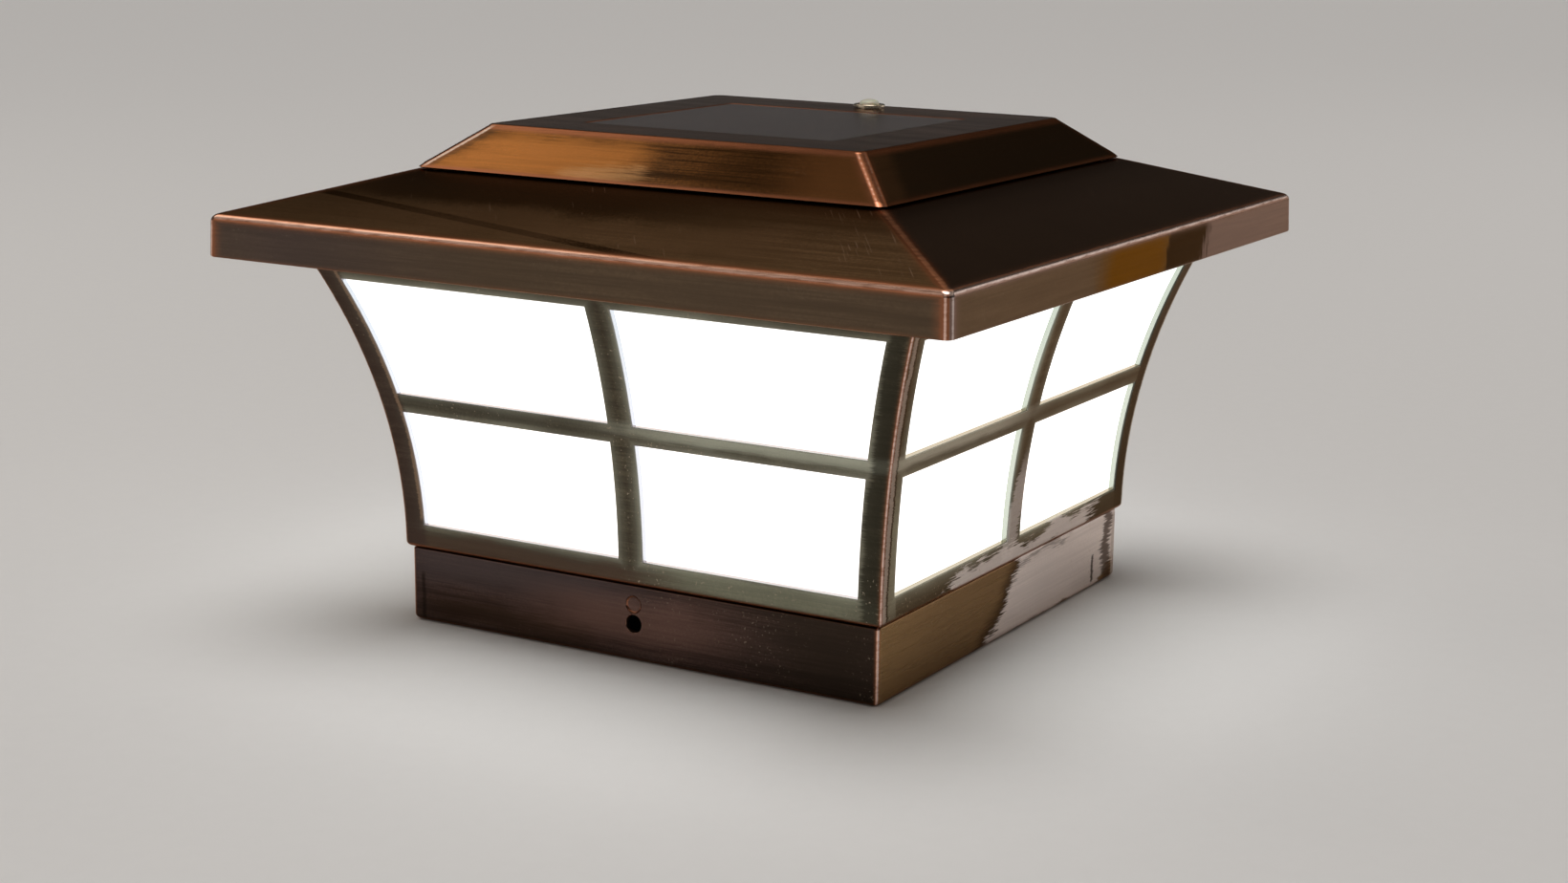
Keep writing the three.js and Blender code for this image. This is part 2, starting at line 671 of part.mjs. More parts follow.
function batteryDoor() {
  const [near, far] = [BAY_NEAR + GAP, BAY_FAR - 0.6];
  const [x0, x1] = [-DOOR_KNUCKLE_HALF, DOOR_KNUCKLE_HALF];
  const leaf = block([-BAY_HALF_LENGTH + GAP, near, TRAY_BOTTOM], [BAY_HALF_LENGTH - GAP, far, TRAY_TOP]);
  return carve(leaf, {
    add: [
      crossBar(KNUCKLE_RADIUS, x0, x1, HINGE_Y, HINGE_Z),
      block([x0, HINGE_Y, HINGE_Z - 0.4], [x1, near + 3, HINGE_Z + 1.6]),
      block([x0, near + 0.1, HINGE_Z], [x1, near + 3, TRAY_BOTTOM + SUNK]),
      block([-PULL_HALF, far - 3, TRAY_BOTTOM - PULL_DROP], [PULL_HALF, far - 1, TRAY_BOTTOM + SUNK]),
    ],
    cut: [crossBar(KNUCKLE_BORE, x0 - PAST, x1 + PAST, HINGE_Y, HINGE_Z)],
  });
}

function hingePin() {
  const reach = DOOR_KNUCKLE_HALF + TRAY_KNUCKLE_LENGTH;
  return crossBar(HINGE_PIN_RADIUS, -reach, reach, HINGE_Y, HINGE_Z);
}

function battery() {
  const edge = 0.5;
  const tipHeight = 1;
  const outline = points(
    [0, 0],
    [BATTERY_RADIUS - edge, 0],
    [BATTERY_RADIUS, edge],
    [BATTERY_RADIUS, BATTERY_LENGTH - edge],
    [BATTERY_RADIUS - edge, BATTERY_LENGTH],
    [BATTERY_TIP_RADIUS, BATTERY_LENGTH],
    [BATTERY_TIP_RADIUS, BATTERY_LENGTH + tipHeight],
    [0, BATTERY_LENGTH + tipHeight],
  );
  const cell = new THREE.LatheGeometry(outline, 24).rotateZ(-Math.PI / 2);
  return cell.translate(BATTERY_FLAT_END, BAY_MIDDLE, BATTERY_Z);
}

function batteryContact(x0) {
  return block(
    [x0, BAY_MIDDLE - CONTACT_HALF, BATTERY_Z - CONTACT_HALF],
    [x0 + CONTACT_WALL, BAY_MIDDLE + CONTACT_HALF, BATTERY_Z + CONTACT_HALF],
  );
}

// The coil that presses on the flat end of the battery.
function batterySpring() {
  const perTurn = 10;
  const steps = SPRING_TURNS * perTurn;
  const [start, end] = [-BAY_HALF_LENGTH + 1.7, BATTERY_FLAT_END - 0.8];
  const route = [];
  for (let i = 0; i <= steps; i += 1) {
    const share = i / steps;
    const turn = share * SPRING_TURNS * 2 * Math.PI;
    const radius = SPRING_RADIUS - SPRING_TAPER * share;
    route.push(new THREE.Vector3(
      start + (end - start) * share,
      BAY_MIDDLE + radius * Math.cos(turn),
      BATTERY_Z + radius * Math.sin(turn),
    ));
  }
  return tube(new THREE.CatmullRomCurve3(route), SPRING_WIRE_RADIUS, steps);
}

addPiece('light_tray', lightTray(), whitePlastic);
fourPlaces(TRAY_SCREW_PLACE).forEach((place, i) => {
  addPiece(`tray_screw_${i + 1}`, panScrew(TRAY_BOTTOM - GAP - HEAD_HEIGHT, 3, 1.4, 118, place), screwZinc);
});
addPiece('battery_holder', batteryHolder(), whitePlastic);
addPiece('battery_door', batteryDoor(), whitePlastic);
addPiece('door_hinge_pin', hingePin(), screwZinc);
addPiece('battery', battery(), batterySleeve);
addPiece('battery_contact_plus', batteryContact(BAY_HALF_LENGTH - GAP - CONTACT_WALL), nickelPlate);
addPiece('battery_contact_minus', batteryContact(-BAY_HALF_LENGTH + GAP), nickelPlate);
addPiece('battery_spring', batterySpring(), nickelPlate);

// ---- Electronics -------------------------------------------------------------------------------

function led(place) {
  const flange = BOARD_BOTTOM - GAP;
  const dome = edgeArc([0, LED_DOME_CENTRE], LED_RADIUS, -90, 0, 4);
  dome[0][0] = 0;
  return turned(points(
    ...dome,
    [LED_RADIUS, flange - 1],
    [LED_RADIUS + LED_FLANGE, flange - 1],
    [LED_RADIUS + LED_FLANGE, flange],
    [0, flange],
  ), place, 14);
}

const mainBoard = block([-BOARD_HALF, BOARD_NEAR, BOARD_BOTTOM], [BOARD_HALF, BOARD_FAR, BOARD_TOP]);
addPiece('main_board', mainBoard, boardGreen);
ledPlaces().forEach((place, i) => addPiece(`led_${i + 1}`, led(place), ledLens));

const PARTS_BOTTOM = BOARD_TOP + GAP;
addPiece('driver_chip', block([-22, -40, PARTS_BOTTOM], [-12, -32, PARTS_BOTTOM + 1.6]), blackPlastic);
addPiece('choke_coil', rod(CHOKE_RADIUS, PARTS_BOTTOM, PARTS_BOTTOM + CHOKE_HEIGHT, [20, -36]), blackPlastic);

// Wires, each routed through a few points and then straight down to its joint on the board.
const BOARD_SOLDER = PARTS_BOTTOM + 0.4;
const WIRES = {
  panel_wire_red: [[1.3, PANEL_WIRE_Y, 136.9], [1.3, PANEL_WIRE_Y, 131], [4, -19, 122], [4, -16, 116]],
  panel_wire_black: [[-1.3, PANEL_WIRE_Y, 136.9], [-1.3, PANEL_WIRE_Y, 131], [-4, -19, 122], [-4, -16, 116]],
  battery_wire_red: [[42, 30, 120], [46, 27, 120], [47, 8, 119], [44, -14, 117]],
  battery_wire_black: [[-42, 30, 120], [-46, 27, 120], [-47, 8, 119], [-44, -14, 117]],
  switch_wire_red: [[1.6, 51, 123.4], [14, 51, 116], [46, 46, 114], [52, 20, 117], [52, -13, 117]],
  switch_wire_black: [[-1.6, 51, 123.4], [-14, 51, 116], [-46, 46, 114], [-52, 20, 117], [-52, -13, 117]],
};
for (const [name, route] of Object.entries(WIRES)) {
  const [endX, endY] = route[route.length - 1];
  const places = [...route, [endX, endY, BOARD_SOLDER]];
  const curve = new THREE.CatmullRomCurve3(places.map((place) => new THREE.Vector3(...place)));
  addPiece(name, tube(curve, WIRE_RADIUS, 12), name.endsWith('red') ? redWire : blackWire);
}

export default group;
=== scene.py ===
"""Looks of a solar lantern cap for a fence post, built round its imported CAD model.

Metres, +Z up, the same frame as the CAD. The metal shells, lenses, button, screws, LEDs, battery,
switch and the parts on the board are rebuilt here with finer detail, and stand for their CAD
nodes. Everything else keeps its CAD mesh and gets a finish. The metal is copper plate that was
blackened, brushed level, rubbed bright on its edges and lacquered.
"""

import math
from functools import partialmethod

import bmesh
import bpy
from mathutils import Euler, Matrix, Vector
from mathutils.geometry import tessellate_polygon


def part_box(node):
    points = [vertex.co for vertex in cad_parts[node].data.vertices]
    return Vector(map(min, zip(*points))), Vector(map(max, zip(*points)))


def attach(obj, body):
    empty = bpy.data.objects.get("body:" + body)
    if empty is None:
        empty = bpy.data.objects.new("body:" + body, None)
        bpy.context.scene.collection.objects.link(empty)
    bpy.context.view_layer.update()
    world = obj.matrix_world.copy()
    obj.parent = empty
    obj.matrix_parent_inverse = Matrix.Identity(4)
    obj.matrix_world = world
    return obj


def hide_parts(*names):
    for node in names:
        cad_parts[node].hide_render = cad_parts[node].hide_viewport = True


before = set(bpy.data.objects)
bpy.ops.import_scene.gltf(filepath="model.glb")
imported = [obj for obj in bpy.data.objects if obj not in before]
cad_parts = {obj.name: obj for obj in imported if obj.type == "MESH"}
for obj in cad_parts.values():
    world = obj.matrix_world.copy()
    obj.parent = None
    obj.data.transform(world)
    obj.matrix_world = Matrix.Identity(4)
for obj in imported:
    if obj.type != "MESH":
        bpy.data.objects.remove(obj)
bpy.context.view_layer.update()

MM = 0.001

# ---- Sizes, in metres: boxes from the frame, and the CAD's driving dimensions ----

collar_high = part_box("base_collar")[1]
frame_low, frame_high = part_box("window_frame")
lens_low, lens_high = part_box("lens_front")
roof_low, roof_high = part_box("roof_pan")
crown_low, crown_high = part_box("crown_cap")
glass_low, glass_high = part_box("panel_glass")
bezel_low, bezel_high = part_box("switch_bezel")
button_low, button_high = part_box("power_button")

WALL = 2 * MM
LEDGE_INNER_HALF = 64 * MM
COLLAR_CORNER = 1.4 * MM
SCREW_HOLE = (0, 10.3 * MM)
SCREW_HOLE_RADIUS = 2.5 * MM
DIMPLE = (0, 15.7 * MM)
DIMPLE_DEPTH = 0.5 * MM

FOOT_HALF = 76.4 * MM
FLARE_RADIUS = 205 * MM
FRAME_CORNER = 1.2 * MM
STILE = 7.2 * MM
MUNTIN = 8 * MM
PANE_ROWS = ((28.4 * MM, 60.8 * MM), (66.2 * MM, 98.5 * MM))
PANE_EDGE = 0.55 * MM

LENS_SETBACK = WALL + 0.3 * MM
LENS_WALL = 1.6 * MM
LENS_SIDE_GAP = 3.2 * MM

ROOF_CORNER = 2.2 * MM
FASCIA_TOP = 116 * MM
FASCIA_TOP_HALF = 112.1 * MM
SEAT_HALF = 72.9 * MM
SEAT_INNER_HALF = 56 * MM

CROWN_CORNER = 2.4 * MM
CROWN_TOP_HALF = 59.1 * MM
RECESS_FLOOR = 136.2 * MM
RECESS_GAP = 0.45 * MM
BUTTON_Y = 51 * MM
NECK_HOLE_RADIUS = 4.2 * MM


def flare(height):
    """Half width of the window frame's outer face at a height."""
    rise = height - frame_low.z
    return FOOT_HALF + FLARE_RADIUS - math.sqrt(FLARE_RADIUS**2 - rise**2)


# ---- Material nodes ----


def stops_mm(*stops):
    """A curve's stops (place, level), with their places given in millimetres."""
    return [(MM * place, level) for place, level in stops]


class NodeTree:
    """A tree of shader nodes, with short calls for the nodes that materials and the world use."""

    def __init__(self, tree):
        self.tree = tree

    def feed(self, socket, value):
        if isinstance(value, bpy.types.NodeSocket):
            self.tree.links.new(value, socket)
        elif isinstance(value, tuple) and len(value) == 3 and socket.type == "RGBA":
            socket.default_value = (*value, 1)
        else:
            socket.default_value = value

    def node(self, kind, inputs, **settings):
        made = self.tree.nodes.new("ShaderNode" + kind)
        for key, value in settings.items():
            setattr(made, key, value)
        for key, value in inputs.items():
            self.feed(made.inputs[key], value)
        return made

    def scaled(self, vector, scale, turn=(0, 0, 0)):
        inputs = {"Vector": vector, "Scale": scale, "Rotation": turn}
        return self.node("Mapping", inputs).outputs["Vector"]

    def noise(self, vector, scale=1, detail=2, roughness=0.5):
        inputs = {"Vector": vector, "Scale": scale, "Detail": detail, "Roughness": roughness}
        return self.node("TexNoise", inputs).outputs["Fac"]

    def step(self, value, low, high, to_low=0, to_high=1):
        """A smooth step of value, from to_low at low to to_high at high."""
        inputs = {"Value": value, "From Min": low, "From Max": high,
                  "To Min": to_low, "To Max": to_high}
        made = self.node("MapRange", inputs, interpolation_type="SMOOTHSTEP")
        return made.outputs["Result"]

    def calc(self, operation, first, second=0.0):
        return self.node("Math", {0: first, 1: second}, operation=operation).outputs["Value"]

    plus = partialmethod(calc, "ADD")
    minus = partialmethod(calc, "SUBTRACT")
    larger = partialmethod(calc, "MAXIMUM")
    smaller = partialmethod(calc, "MINIMUM")

    def times(self, first, *others):
        for other in others:
            first = self.calc("MULTIPLY", first, other)
        return first

    def mix(self, share, first, second):
        inputs = {"Factor": share, 6: first, 7: second}
        return self.node("Mix", inputs, data_type="RGBA").outputs[2]

    def ramp(self, value, stops):
        """A colour ramp of value, a number from 0 to 1, through the stops (position, colour)."""
        made = self.node("ValToRGB", {"Fac": value})
        elements = made.color_ramp.elements
        elements[0].color = (*stops[0][1], 1)
        elements[-1].color = (*stops[-1][1], 1)
        for position, colour in stops[1:-1]:
            elements.new(position).color = (*colour, 1)
        return made.outputs["Color"]

    def curve(self, value, stops):
        """A curve of value through the stops (value, level), flat beyond its ends."""
        low, high = stops[0][0], stops[-1][0]
        inputs = {"Value": value, "From Min": low, "From Max": high}
        share = self.node("MapRange", inputs).outputs["Result"]
        return self.ramp(share, [((place - low) / (high - low), (level,) * 3) for place, level in stops])


class Finish(NodeTree):
    """A material and its nodes."""

    def __init__(self, name):
        self.material = bpy.data.materials.new(name)
        self.material.use_nodes = True
        super().__init__(self.material.node_tree)
        self.shader = self.tree.nodes["Principled BSDF"]
        self.place = self.node("TexCoord", {}).outputs["Object"]

    def set(self, **values):
        """Sets the shader's own sockets: base_color sets Base Color, and so on."""
        names = {socket.name.lower().replace(" ", "_"): socket for socket in self.shader.inputs}
        for key, value in values.items():
            self.feed(names[key], value)

    def attribute(self, name):
        return self.node("Attribute", {}, attribute_name=name).outputs["Fac"]

    def axes(self):
        parts = self.node("SeparateXYZ", {"Vector": self.place}).outputs
        return parts["X"], parts["Y"], parts["Z"]

    def square(self):
        """Coordinates on a square shell: along a wall, height, in from the corner, and out."""
        x, y, height = self.axes()
        far_x, far_y = self.calc("ABSOLUTE", x), self.calc("ABSOLUTE", y)
        front = self.times(x, self.calc("SIGN", y), -1)
        side = self.times(y, self.calc("SIGN", x))
        out, across = self.larger(far_x, far_y), self.smaller(far_x, far_y)
        return {"front": front, "side": side, "is_side": self.calc("GREATER_THAN", far_x, far_y),
                "height": height, "out": out, "across": across, "from_corner": self.minus(out, across),
                "front_near": self.minus(out, front), "front_far": self.plus(out, front),
                "side_near": self.plus(out, side), "side_far": self.minus(out, side)}

    def bumped(self, height, distance, strength):
        """Adds a bump, and returns the finished material."""
        inputs = {"Height": height, "Distance": distance, "Strength": strength}
        self.set(normal=self.node("Bump", inputs).outputs["Normal"])
        return self.material


# Colours of the metal where it is worn, scratched or dusty, and the painted glow of the lit lenses on the
# pane edges and inside the frame.
COPPER = (0.34, 0.125, 0.060)
ROSE = (0.95, 0.62, 0.50)
PALE_ROSE = (0.72, 0.59, 0.54)
BRIGHT_COPPER = (0.90, 0.40, 0.22)
DULL_COPPER = (0.26, 0.165, 0.135)
PANE_GLOW_OLIVE = (0.40, 0.40, 0.31)
SCRATCHED = (0.42, 0.30, 0.22)
DUST = (0.45, 0.36, 0.26)
REVEAL_GLOW_FRONT, REVEAL_GLOW_SIDE = (0.56, 0.58, 0.63), (0.44, 0.47, 0.41)

# Colours of its patina, and colours of painted light: an olive that lightens a whole pair of walls, a golden
# reflection, an orange and a tan highlight, and a near black that in places paints shade.
MAUVE = (0.92, 0.83, 0.79)
OLIVE_SIDE_LIGHT = (0.33, 0.205, 0.095)
GOLD_REFLECTION = (0.19, 0.070, 0.0)
UMBER = (0.045, 0.024, 0.013)
PLUM = (0.088, 0.066, 0.064)
RUST = (0.150, 0.082, 0.064)
ORANGE_HIGHLIGHT = (0.40, 0.155, 0.040)
TAN_HIGHLIGHT = (0.50, 0.28, 0.13)
NEAR_BLACK = (0.014, 0.009, 0.007)


def antique_copper(name, dark, lit, patches, levels, corner, speckle, streak=1.0, strokes=(110, 2400),
                   hip=None, fold=None, crest=None, crease_shade=None, scratches=0.0, panes=False):
    """Blackened copper: brush lines along each wall, edges rubbed bright, and a thin lacquer.

    Wear runs from black (0) through copper to rose (1); on the roof and crown the corner curves also
    paint two highlight lines on each corner's rounding. levels is its curve up the piece. corner
    and hip are its curves away from the corner's middle, below and above the fold, and it ends at
    the crest. strokes gives how many strokes fray the patches' edges in a metre along the walls,
    and in a metre up them.
    """
    finish = Finish(name)
    place, shell = finish.place, finish.square()
    brush = finish.node("UVMap", {}, uv_map="brush").outputs["UV"]
    fine = finish.noise(finish.scaled(brush, (34, 1500, 1)), 1, 3, 0.6)
    broad = finish.noise(finish.scaled(brush, (8, 330, 1)), 1, 4, 0.65)
    lines = finish.plus(finish.times(fine, 0.45), finish.times(broad, 0.55))
    cloud = finish.step(finish.noise(place, 26, 3), 0.25, 0.75, 0.35, 1.0)
    mottle = finish.step(finish.noise(place, 1200, 2, 0.7), 0.3, 0.7, 0.6, 1.4)
    tone = finish.times(finish.step(lines, 0.5 - 0.13 / streak, 0.5 + 0.13 / streak), cloud, mottle)
    colour = finish.mix(tone, dark, lit)
    if panes:
        # Painted glow of the lit lenses, lightening the metal to olive near the panes.
        colour = finish.mix(painted_pane_glow(finish, shell), colour, PANE_GLOW_OLIVE)
    colour, dry = patched(finish, shell, colour, tone, patches, strokes)
    # Painted shade: the roof darkens in the crease towards the crown's foot.
    if crease_shade:
        colour = finish.mix(finish.curve(shell["height"], crease_shade), colour, NEAR_BLACK)
    if scratches:
        colour = finish.mix(finish.times(scratch_lines(finish, shell), scratches), colour, SCRATCHED)
    colour = finish.mix(finish.times(dust_specks(finish), speckle), colour, DUST)
    edge, shine = COPPER, finish.mix(shell["is_side"], ROSE, PALE_ROSE)
    # On the roof and crown the corner curve paints two highlight lines on the rounding, over the rubbed wear.
    line = finish.curve(shell["from_corner"], corner)
    if hip:
        above = finish.step(shell["height"], fold - 0.3 * MM, fold + 0.3 * MM)
        line = finish.mix(above, line, finish.curve(shell["from_corner"], hip))
        shine = finish.mix(above, shine, BRIGHT_COPPER)
        fascia = finish.times(shell["is_side"], finish.step(shell["height"], fold + 1.5 * MM, fold))
        edge = finish.mix(fascia, edge, DULL_COPPER)
    if crest:
        line = finish.times(line, finish.step(shell["height"], crest, crest - 0.4 * MM))
    wear_and_glint = finish.larger(finish.attribute("wear"), finish.curve(shell["height"], levels))
    broken = finish.noise(finish.scaled(brush, (160, 900, 1)), 1, 4, 0.65)
    wear_and_glint = finish.times(finish.larger(wear_and_glint, line), finish.step(broken, 0.2, 0.7, 0.72, 1.12))
    colour = finish.mix(finish.step(wear_and_glint, 0.0, 0.6), colour, edge)
    colour = finish.mix(finish.step(wear_and_glint, 0.55, 1.0), colour, shine)
    # Painted glow of the lit lenses: the pane edges and the inside of the frame turn pale, bluish on the
    # front and back walls and greenish on the sides.
    inside = finish.mix(shell["is_side"], REVEAL_GLOW_FRONT, REVEAL_GLOW_SIDE)
    colour = finish.mix(finish.attribute("bare"), colour, inside)
    finish.set(base_color=colour, metallic=1.0, ior=1.5, specular_tint=(0.74, 0.58, 0.48),
               coat_weight=0.06, coat_roughness=0.1, coat_ior=1.45,
               roughness=finish.plus(finish.step(lines, 0.3, 0.7, 0.26, 0.19), dry))
    return finish.bumped(lines, 0.012 * MM, 0.5)


def patched(finish, shell, colour, tone, patches, strokes):
    """The colour with its patches laid over it, one after another, and how dull they make it."""
    frayed = finish.noise(finish.scaled(finish.place, (strokes[0], strokes[0], strokes[1])), 1, 2, 0.7)
    rag = finish.minus(finish.plus(frayed, finish.noise(finish.place, 60, 2)), 1.0)
    dry = 0.0
    for *shape, strength, tint, dull in ((row if len(row) > 9 else (*row, 0)) for row in patches):
        spot = patch(finish, shell, rag, *shape)
        streaked = finish.mix(tone, tuple(0.88 * part for part in tint), tint)
        colour = finish.mix(finish.times(spot, strength), colour, streaked)
        if dull:
            dry = finish.larger(dry, finish.times(spot, dull))
    return colour, dry


def patch(finish, shell, rag, wall, along, height, soft, fade, slant, ragged):
    """A ragged patch on one pair of walls: 1 inside its range along and up, 0 outside."""
    start, end, low, high, soft, fade, ragged = (MM * part for part in (*along, *height, soft, fade, ragged))
    rag = finish.times(rag, ragged)
    lean = finish.times(finish.minus(shell["height"], (low + high) / 2), slant)
    way = finish.plus(finish.minus(shell[wall], lean), rag)
    level = finish.plus(shell["height"], finish.times(rag, 0.3))
    chosen = shell["is_side"] if wall.startswith("side") else finish.minus(1, shell["is_side"])
    inside = finish.times(finish.step(way, start - soft, start + soft),
                          finish.step(way, end + soft, end - soft),
                          finish.step(level, low - fade, low + fade),
                          finish.step(level, high + fade, high - fade))
    return finish.times(inside, chosen)


def scratch_lines(finish, shell):
    """Fine scratches across the roof's slopes, in a few places."""
    turned = finish.scaled(finish.place, (1, 1, 1), (0, 0, math.radians(52)))
    marks = finish.step(finish.noise(finish.scaled(turned, (60, 2400, 60)), 1, 1), 0.70, 0.74)
    where = finish.step(finish.noise(finish.place, 38, 1), 0.54, 0.6)
    return finish.times(marks, where, finish.step(shell["height"], 116.5 * MM, 117.5 * MM))


def dust_specks(finish):
    """Pale specks, in a few places."""
    dust = finish.step(finish.noise(finish.place, 1300, 1), 0.68, 0.74)
    where = finish.noise(finish.scaled(finish.place, (1, 1, 0.6)), 30, 2)
    return finish.times(dust, finish.step(where, 0.5, 0.62))


def painted_pane_glow(finish, shell):
    """How much painted glow of the lit lenses lightens the metal to olive: most at the edge of a pane, and
    not at all 5 mm away.
    """
    away = finish.minus(MUNTIN / 2, shell["across"])
    away = finish.larger(away, finish.minus(shell["across"], finish.minus(shell["out"], STILE)))
    (low, middle_low), (middle_high, high) = PANE_ROWS
    height = shell["height"]
    between = finish.smaller(finish.minus(height, middle_low), finish.minus(middle_high, height))
    ends = finish.larger(finish.minus(low, height), finish.minus(height, high))
    away = finish.larger(away, finish.larger(between, ends))
    near = finish.curve(away, stops_mm((0, 0.75), (0.9, 0.46), (1.9, 0.2), (3.4, 0.06), (5, 0)))
    return finish.times(near, finish.step(finish.noise(finish.place, 34, 2), 0.3, 0.7, 0.45, 1.15))


def frosted_lens():
    """Frosted white acrylic, lit from inside, a little cooler at the top."""
    finish = Finish("frosted_lens")
    shell = finish.square()
    grain = finish.noise(finish.place, 2600, 2)
    top = finish.step(shell["height"], 60 * MM, 104 * MM)
    glow = finish.mix(top, (1.0, 1.0, 0.985), (0.82, 0.86, 0.85))
    finish.set(base_color=(0.86, 0.88, 0.88), roughness=0.38, ior=1.49, emission_color=glow,
               emission_strength=1.35)
    return finish.bumped(grain, 0.01 * MM, 0.4)


def moulding(name, colour, shade, roughness, grain=1500, coat=0.0):
    """A moulded plastic with a fine spark-eroded grain and slow changes of tone."""
    finish = Finish(name)
    slow = finish.noise(finish.place, 45, 3)
    fine = finish.noise(finish.place, grain, 2)
    finish.set(base_color=finish.mix(slow, colour, shade), ior=1.5, coat_weight=coat)
    finish.set(roughness=finish.step(fine, 0.2, 0.8, roughness - 0.06, roughness + 0.06))
    return finish.bumped(fine, 0.015 * MM, 0.35)


def plated(name, colour, shade, roughness):
    """Bright plating with fine turning marks and a few dull spots."""
    finish = Finish(name)
    dull = finish.noise(finish.place, 160, 4, 0.6)
    marks = finish.noise(finish.scaled(finish.place, (300, 300, 4200)), 1, 2)
    finish.set(base_color=finish.mix(dull, colour, shade), metallic=1.0)
    finish.set(roughness=finish.step(dull, 0.3, 0.75, roughness, roughness + 0.16))
    return finish.bumped(marks, 0.008 * MM, 0.4)


def silicon():
    """A silicon cell: deep blue-black, with fine silver fingers across and two busbars along."""
    finish = Finish("silicon")
    across, along, _ = finish.axes()
    finger_pitch = 2.1 * MM
    busbar_pitch = (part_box("solar_cell_3")[0].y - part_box("solar_cell_1")[0].y) / 2
    finger = finish.step(finish.calc("PINGPONG", across, finger_pitch / 2), 0.10 * MM, 0.06 * MM)
    along = finish.calc("PINGPONG", finish.plus(along, 1.8 * MM), busbar_pitch)
    bar = finish.step(finish.calc("ABSOLUTE", finish.minus(along, busbar_pitch / 2)), 0.5 * MM, 0.4 * MM)
    metal = finish.larger(finger, bar)
    flake = finish.noise(finish.place, 240, 4, 0.7)
    ground = finish.mix(flake, (0.016, 0.012, 0.014), (0.030, 0.022, 0.022))
    finish.set(base_color=finish.mix(metal, ground, (0.24, 0.19, 0.17)), roughness=0.3, ior=1.6)
    return finish.bumped(metal, 0.02 * MM, 0.5)


def cover_glass():
    """The panel's clear resin cover, with faint ripples in its surface."""
    finish = Finish("cover_glass")
    ripple = finish.noise(finish.place, 60, 3)
    tint = finish.mix(ripple, (0.62, 0.47, 0.41), (0.72, 0.57, 0.51))
    finish.set(base_color=tint, roughness=0.24, ior=1.49, transmission_weight=1.0,
               specular_tint=(0.97, 0.80, 0.74))
    return finish.bumped(ripple, 0.05 * MM, 0.3)


def silicone():
    """The button's translucent cream cap."""
    finish = Finish("clear_silicone")
    cloudy = finish.noise(finish.place, 420, 3)
    finish.set(base_color=finish.mix(cloudy, (0.86, 0.66, 0.48), (0.92, 0.78, 0.62)),
               roughness=0.3, ior=1.41, subsurface_weight=0.4, coat_weight=0.4)
    return finish.bumped(cloudy, 0.01 * MM, 0.3)


def circuit_board():
    """Green solder mask over copper tracks, with tinned pads."""
    finish = Finish("circuit_board")
    tracks = finish.node("TexVoronoi", {"Vector": finish.place, "Scale": 260}, distance="MANHATTAN")
    pads = finish.node("TexVoronoi", {"Vector": finish.place, "Scale": 210})
    track = finish.step(tracks.outputs["Distance"], 0.42, 0.46)
    pad = finish.step(pads.outputs["Distance"], 0.16, 0.13)
    mask = finish.mix(track, (0.012, 0.10, 0.045), (0.03, 0.19, 0.08))
    finish.set(base_color=finish.mix(pad, mask, (0.55, 0.55, 0.56)), roughness=0.34, ior=1.5)
    finish.set(metallic=finish.times(pad, 0.9))
    return finish.bumped(track, 0.03 * MM, 0.6)


def sleeve():
    """The battery's shrunk sleeve: two plain bands of colour, slightly wrinkled."""
    finish = Finish("battery_sleeve")
    band = finish.step(finish.axes()[0], 20 * MM, 20.3 * MM)
    wrinkle = finish.noise(finish.scaled(finish.place, (30, 220, 220)), 1, 3)
    finish.set(base_color=finish.mix(band, (0.03, 0.15, 0.42), (0.72, 0.72, 0.70)))
    finish.set(roughness=finish.step(wrinkle, 0.3, 0.7, 0.26, 0.4), ior=1.5)
    return finish.bumped(wrinkle, 0.06 * MM, 0.5)


# Ragged patches of another tone on a pair of walls: "front" is front and back, "side" is right and
# left, counted along the wall from its middle, and "front_near", "side_far" and so on count from
# the wall's end. Then: range along it, range of heights, softness along and up, slant, raggedness,
# strength, colour and, for some, how much duller the patch is. Lengths are in millimetres.
COLLAR_PATCHES = [
    # Painted light: the side walls tinted lighter and more olive all over.
    ("side", (-80, 80), (-5, 30), 4, 1, 0, 4, 0.9, OLIVE_SIDE_LIGHT, 0.04),
    ("side", (-60, 60), (-5, 30), 26, 1, 0.4, 12, 0.35, (0.105, 0.070, 0.050)),
    ("side", (-5, 30), (-5, 30), 5, 1, 1.2, 12, 0.92, (0.030, 0.018, 0.011)),
    ("side", (4, 80), (0, 30), 2.0, 0.4, 1.2, 18, 0.95, MAUVE, 0.12),
    ("side", (10, 40), (18.8, 20.4), 3, 0.4, 0, 20, 0.5, UMBER),
    ("side", (57.2, 58.6), (2, 10), 0.3, 0.5, 0, 3, 0.9, NEAR_BLACK),
    # Painted reflection: a dark band in from the far corner of the side walls.
    ("side_far", (3.2, 9.3), (-5, 30), 0.9, 1, 0, 12, 0.85, (0.060, 0.040, 0.034)),
    # Painted highlight: a pale line down that corner.
    ("side_far", (-1, 3.0), (0.6, 20.4), 0.3, 0.5, 0, 2, 0.8, (0.66, 0.58, 0.54)),
    ("front", (-80, 0), (13, 40), 20, 4, 0, 16, 0.75, PLUM),
    ("front", (-70, -14), (1, 8), 10, 2.5, 0, 20, 0.7, UMBER),
    ("front", (-30, 26), (5, 17), 18, 4, 0, 18, 0.75, RUST),
    ("front", (36, 90), (-5, 30), 22, 1, 0, 14, 0.85, (0.031, 0.021, 0.014)),
    # Painted reflection: a dark line just in from one corner of the front and back walls.
    ("front", (-71.6, -70.4), (-5, 14), 0.35, 1, 0, 1, 0.7, NEAR_BLACK),
    # Painted highlight: a pale line down the far corner of the front and back walls.
    ("front_far", (-1, 0.9), (1, 20), 0.25, 0.5, 0, 1, 0.6, (0.42, 0.28, 0.22)),
]
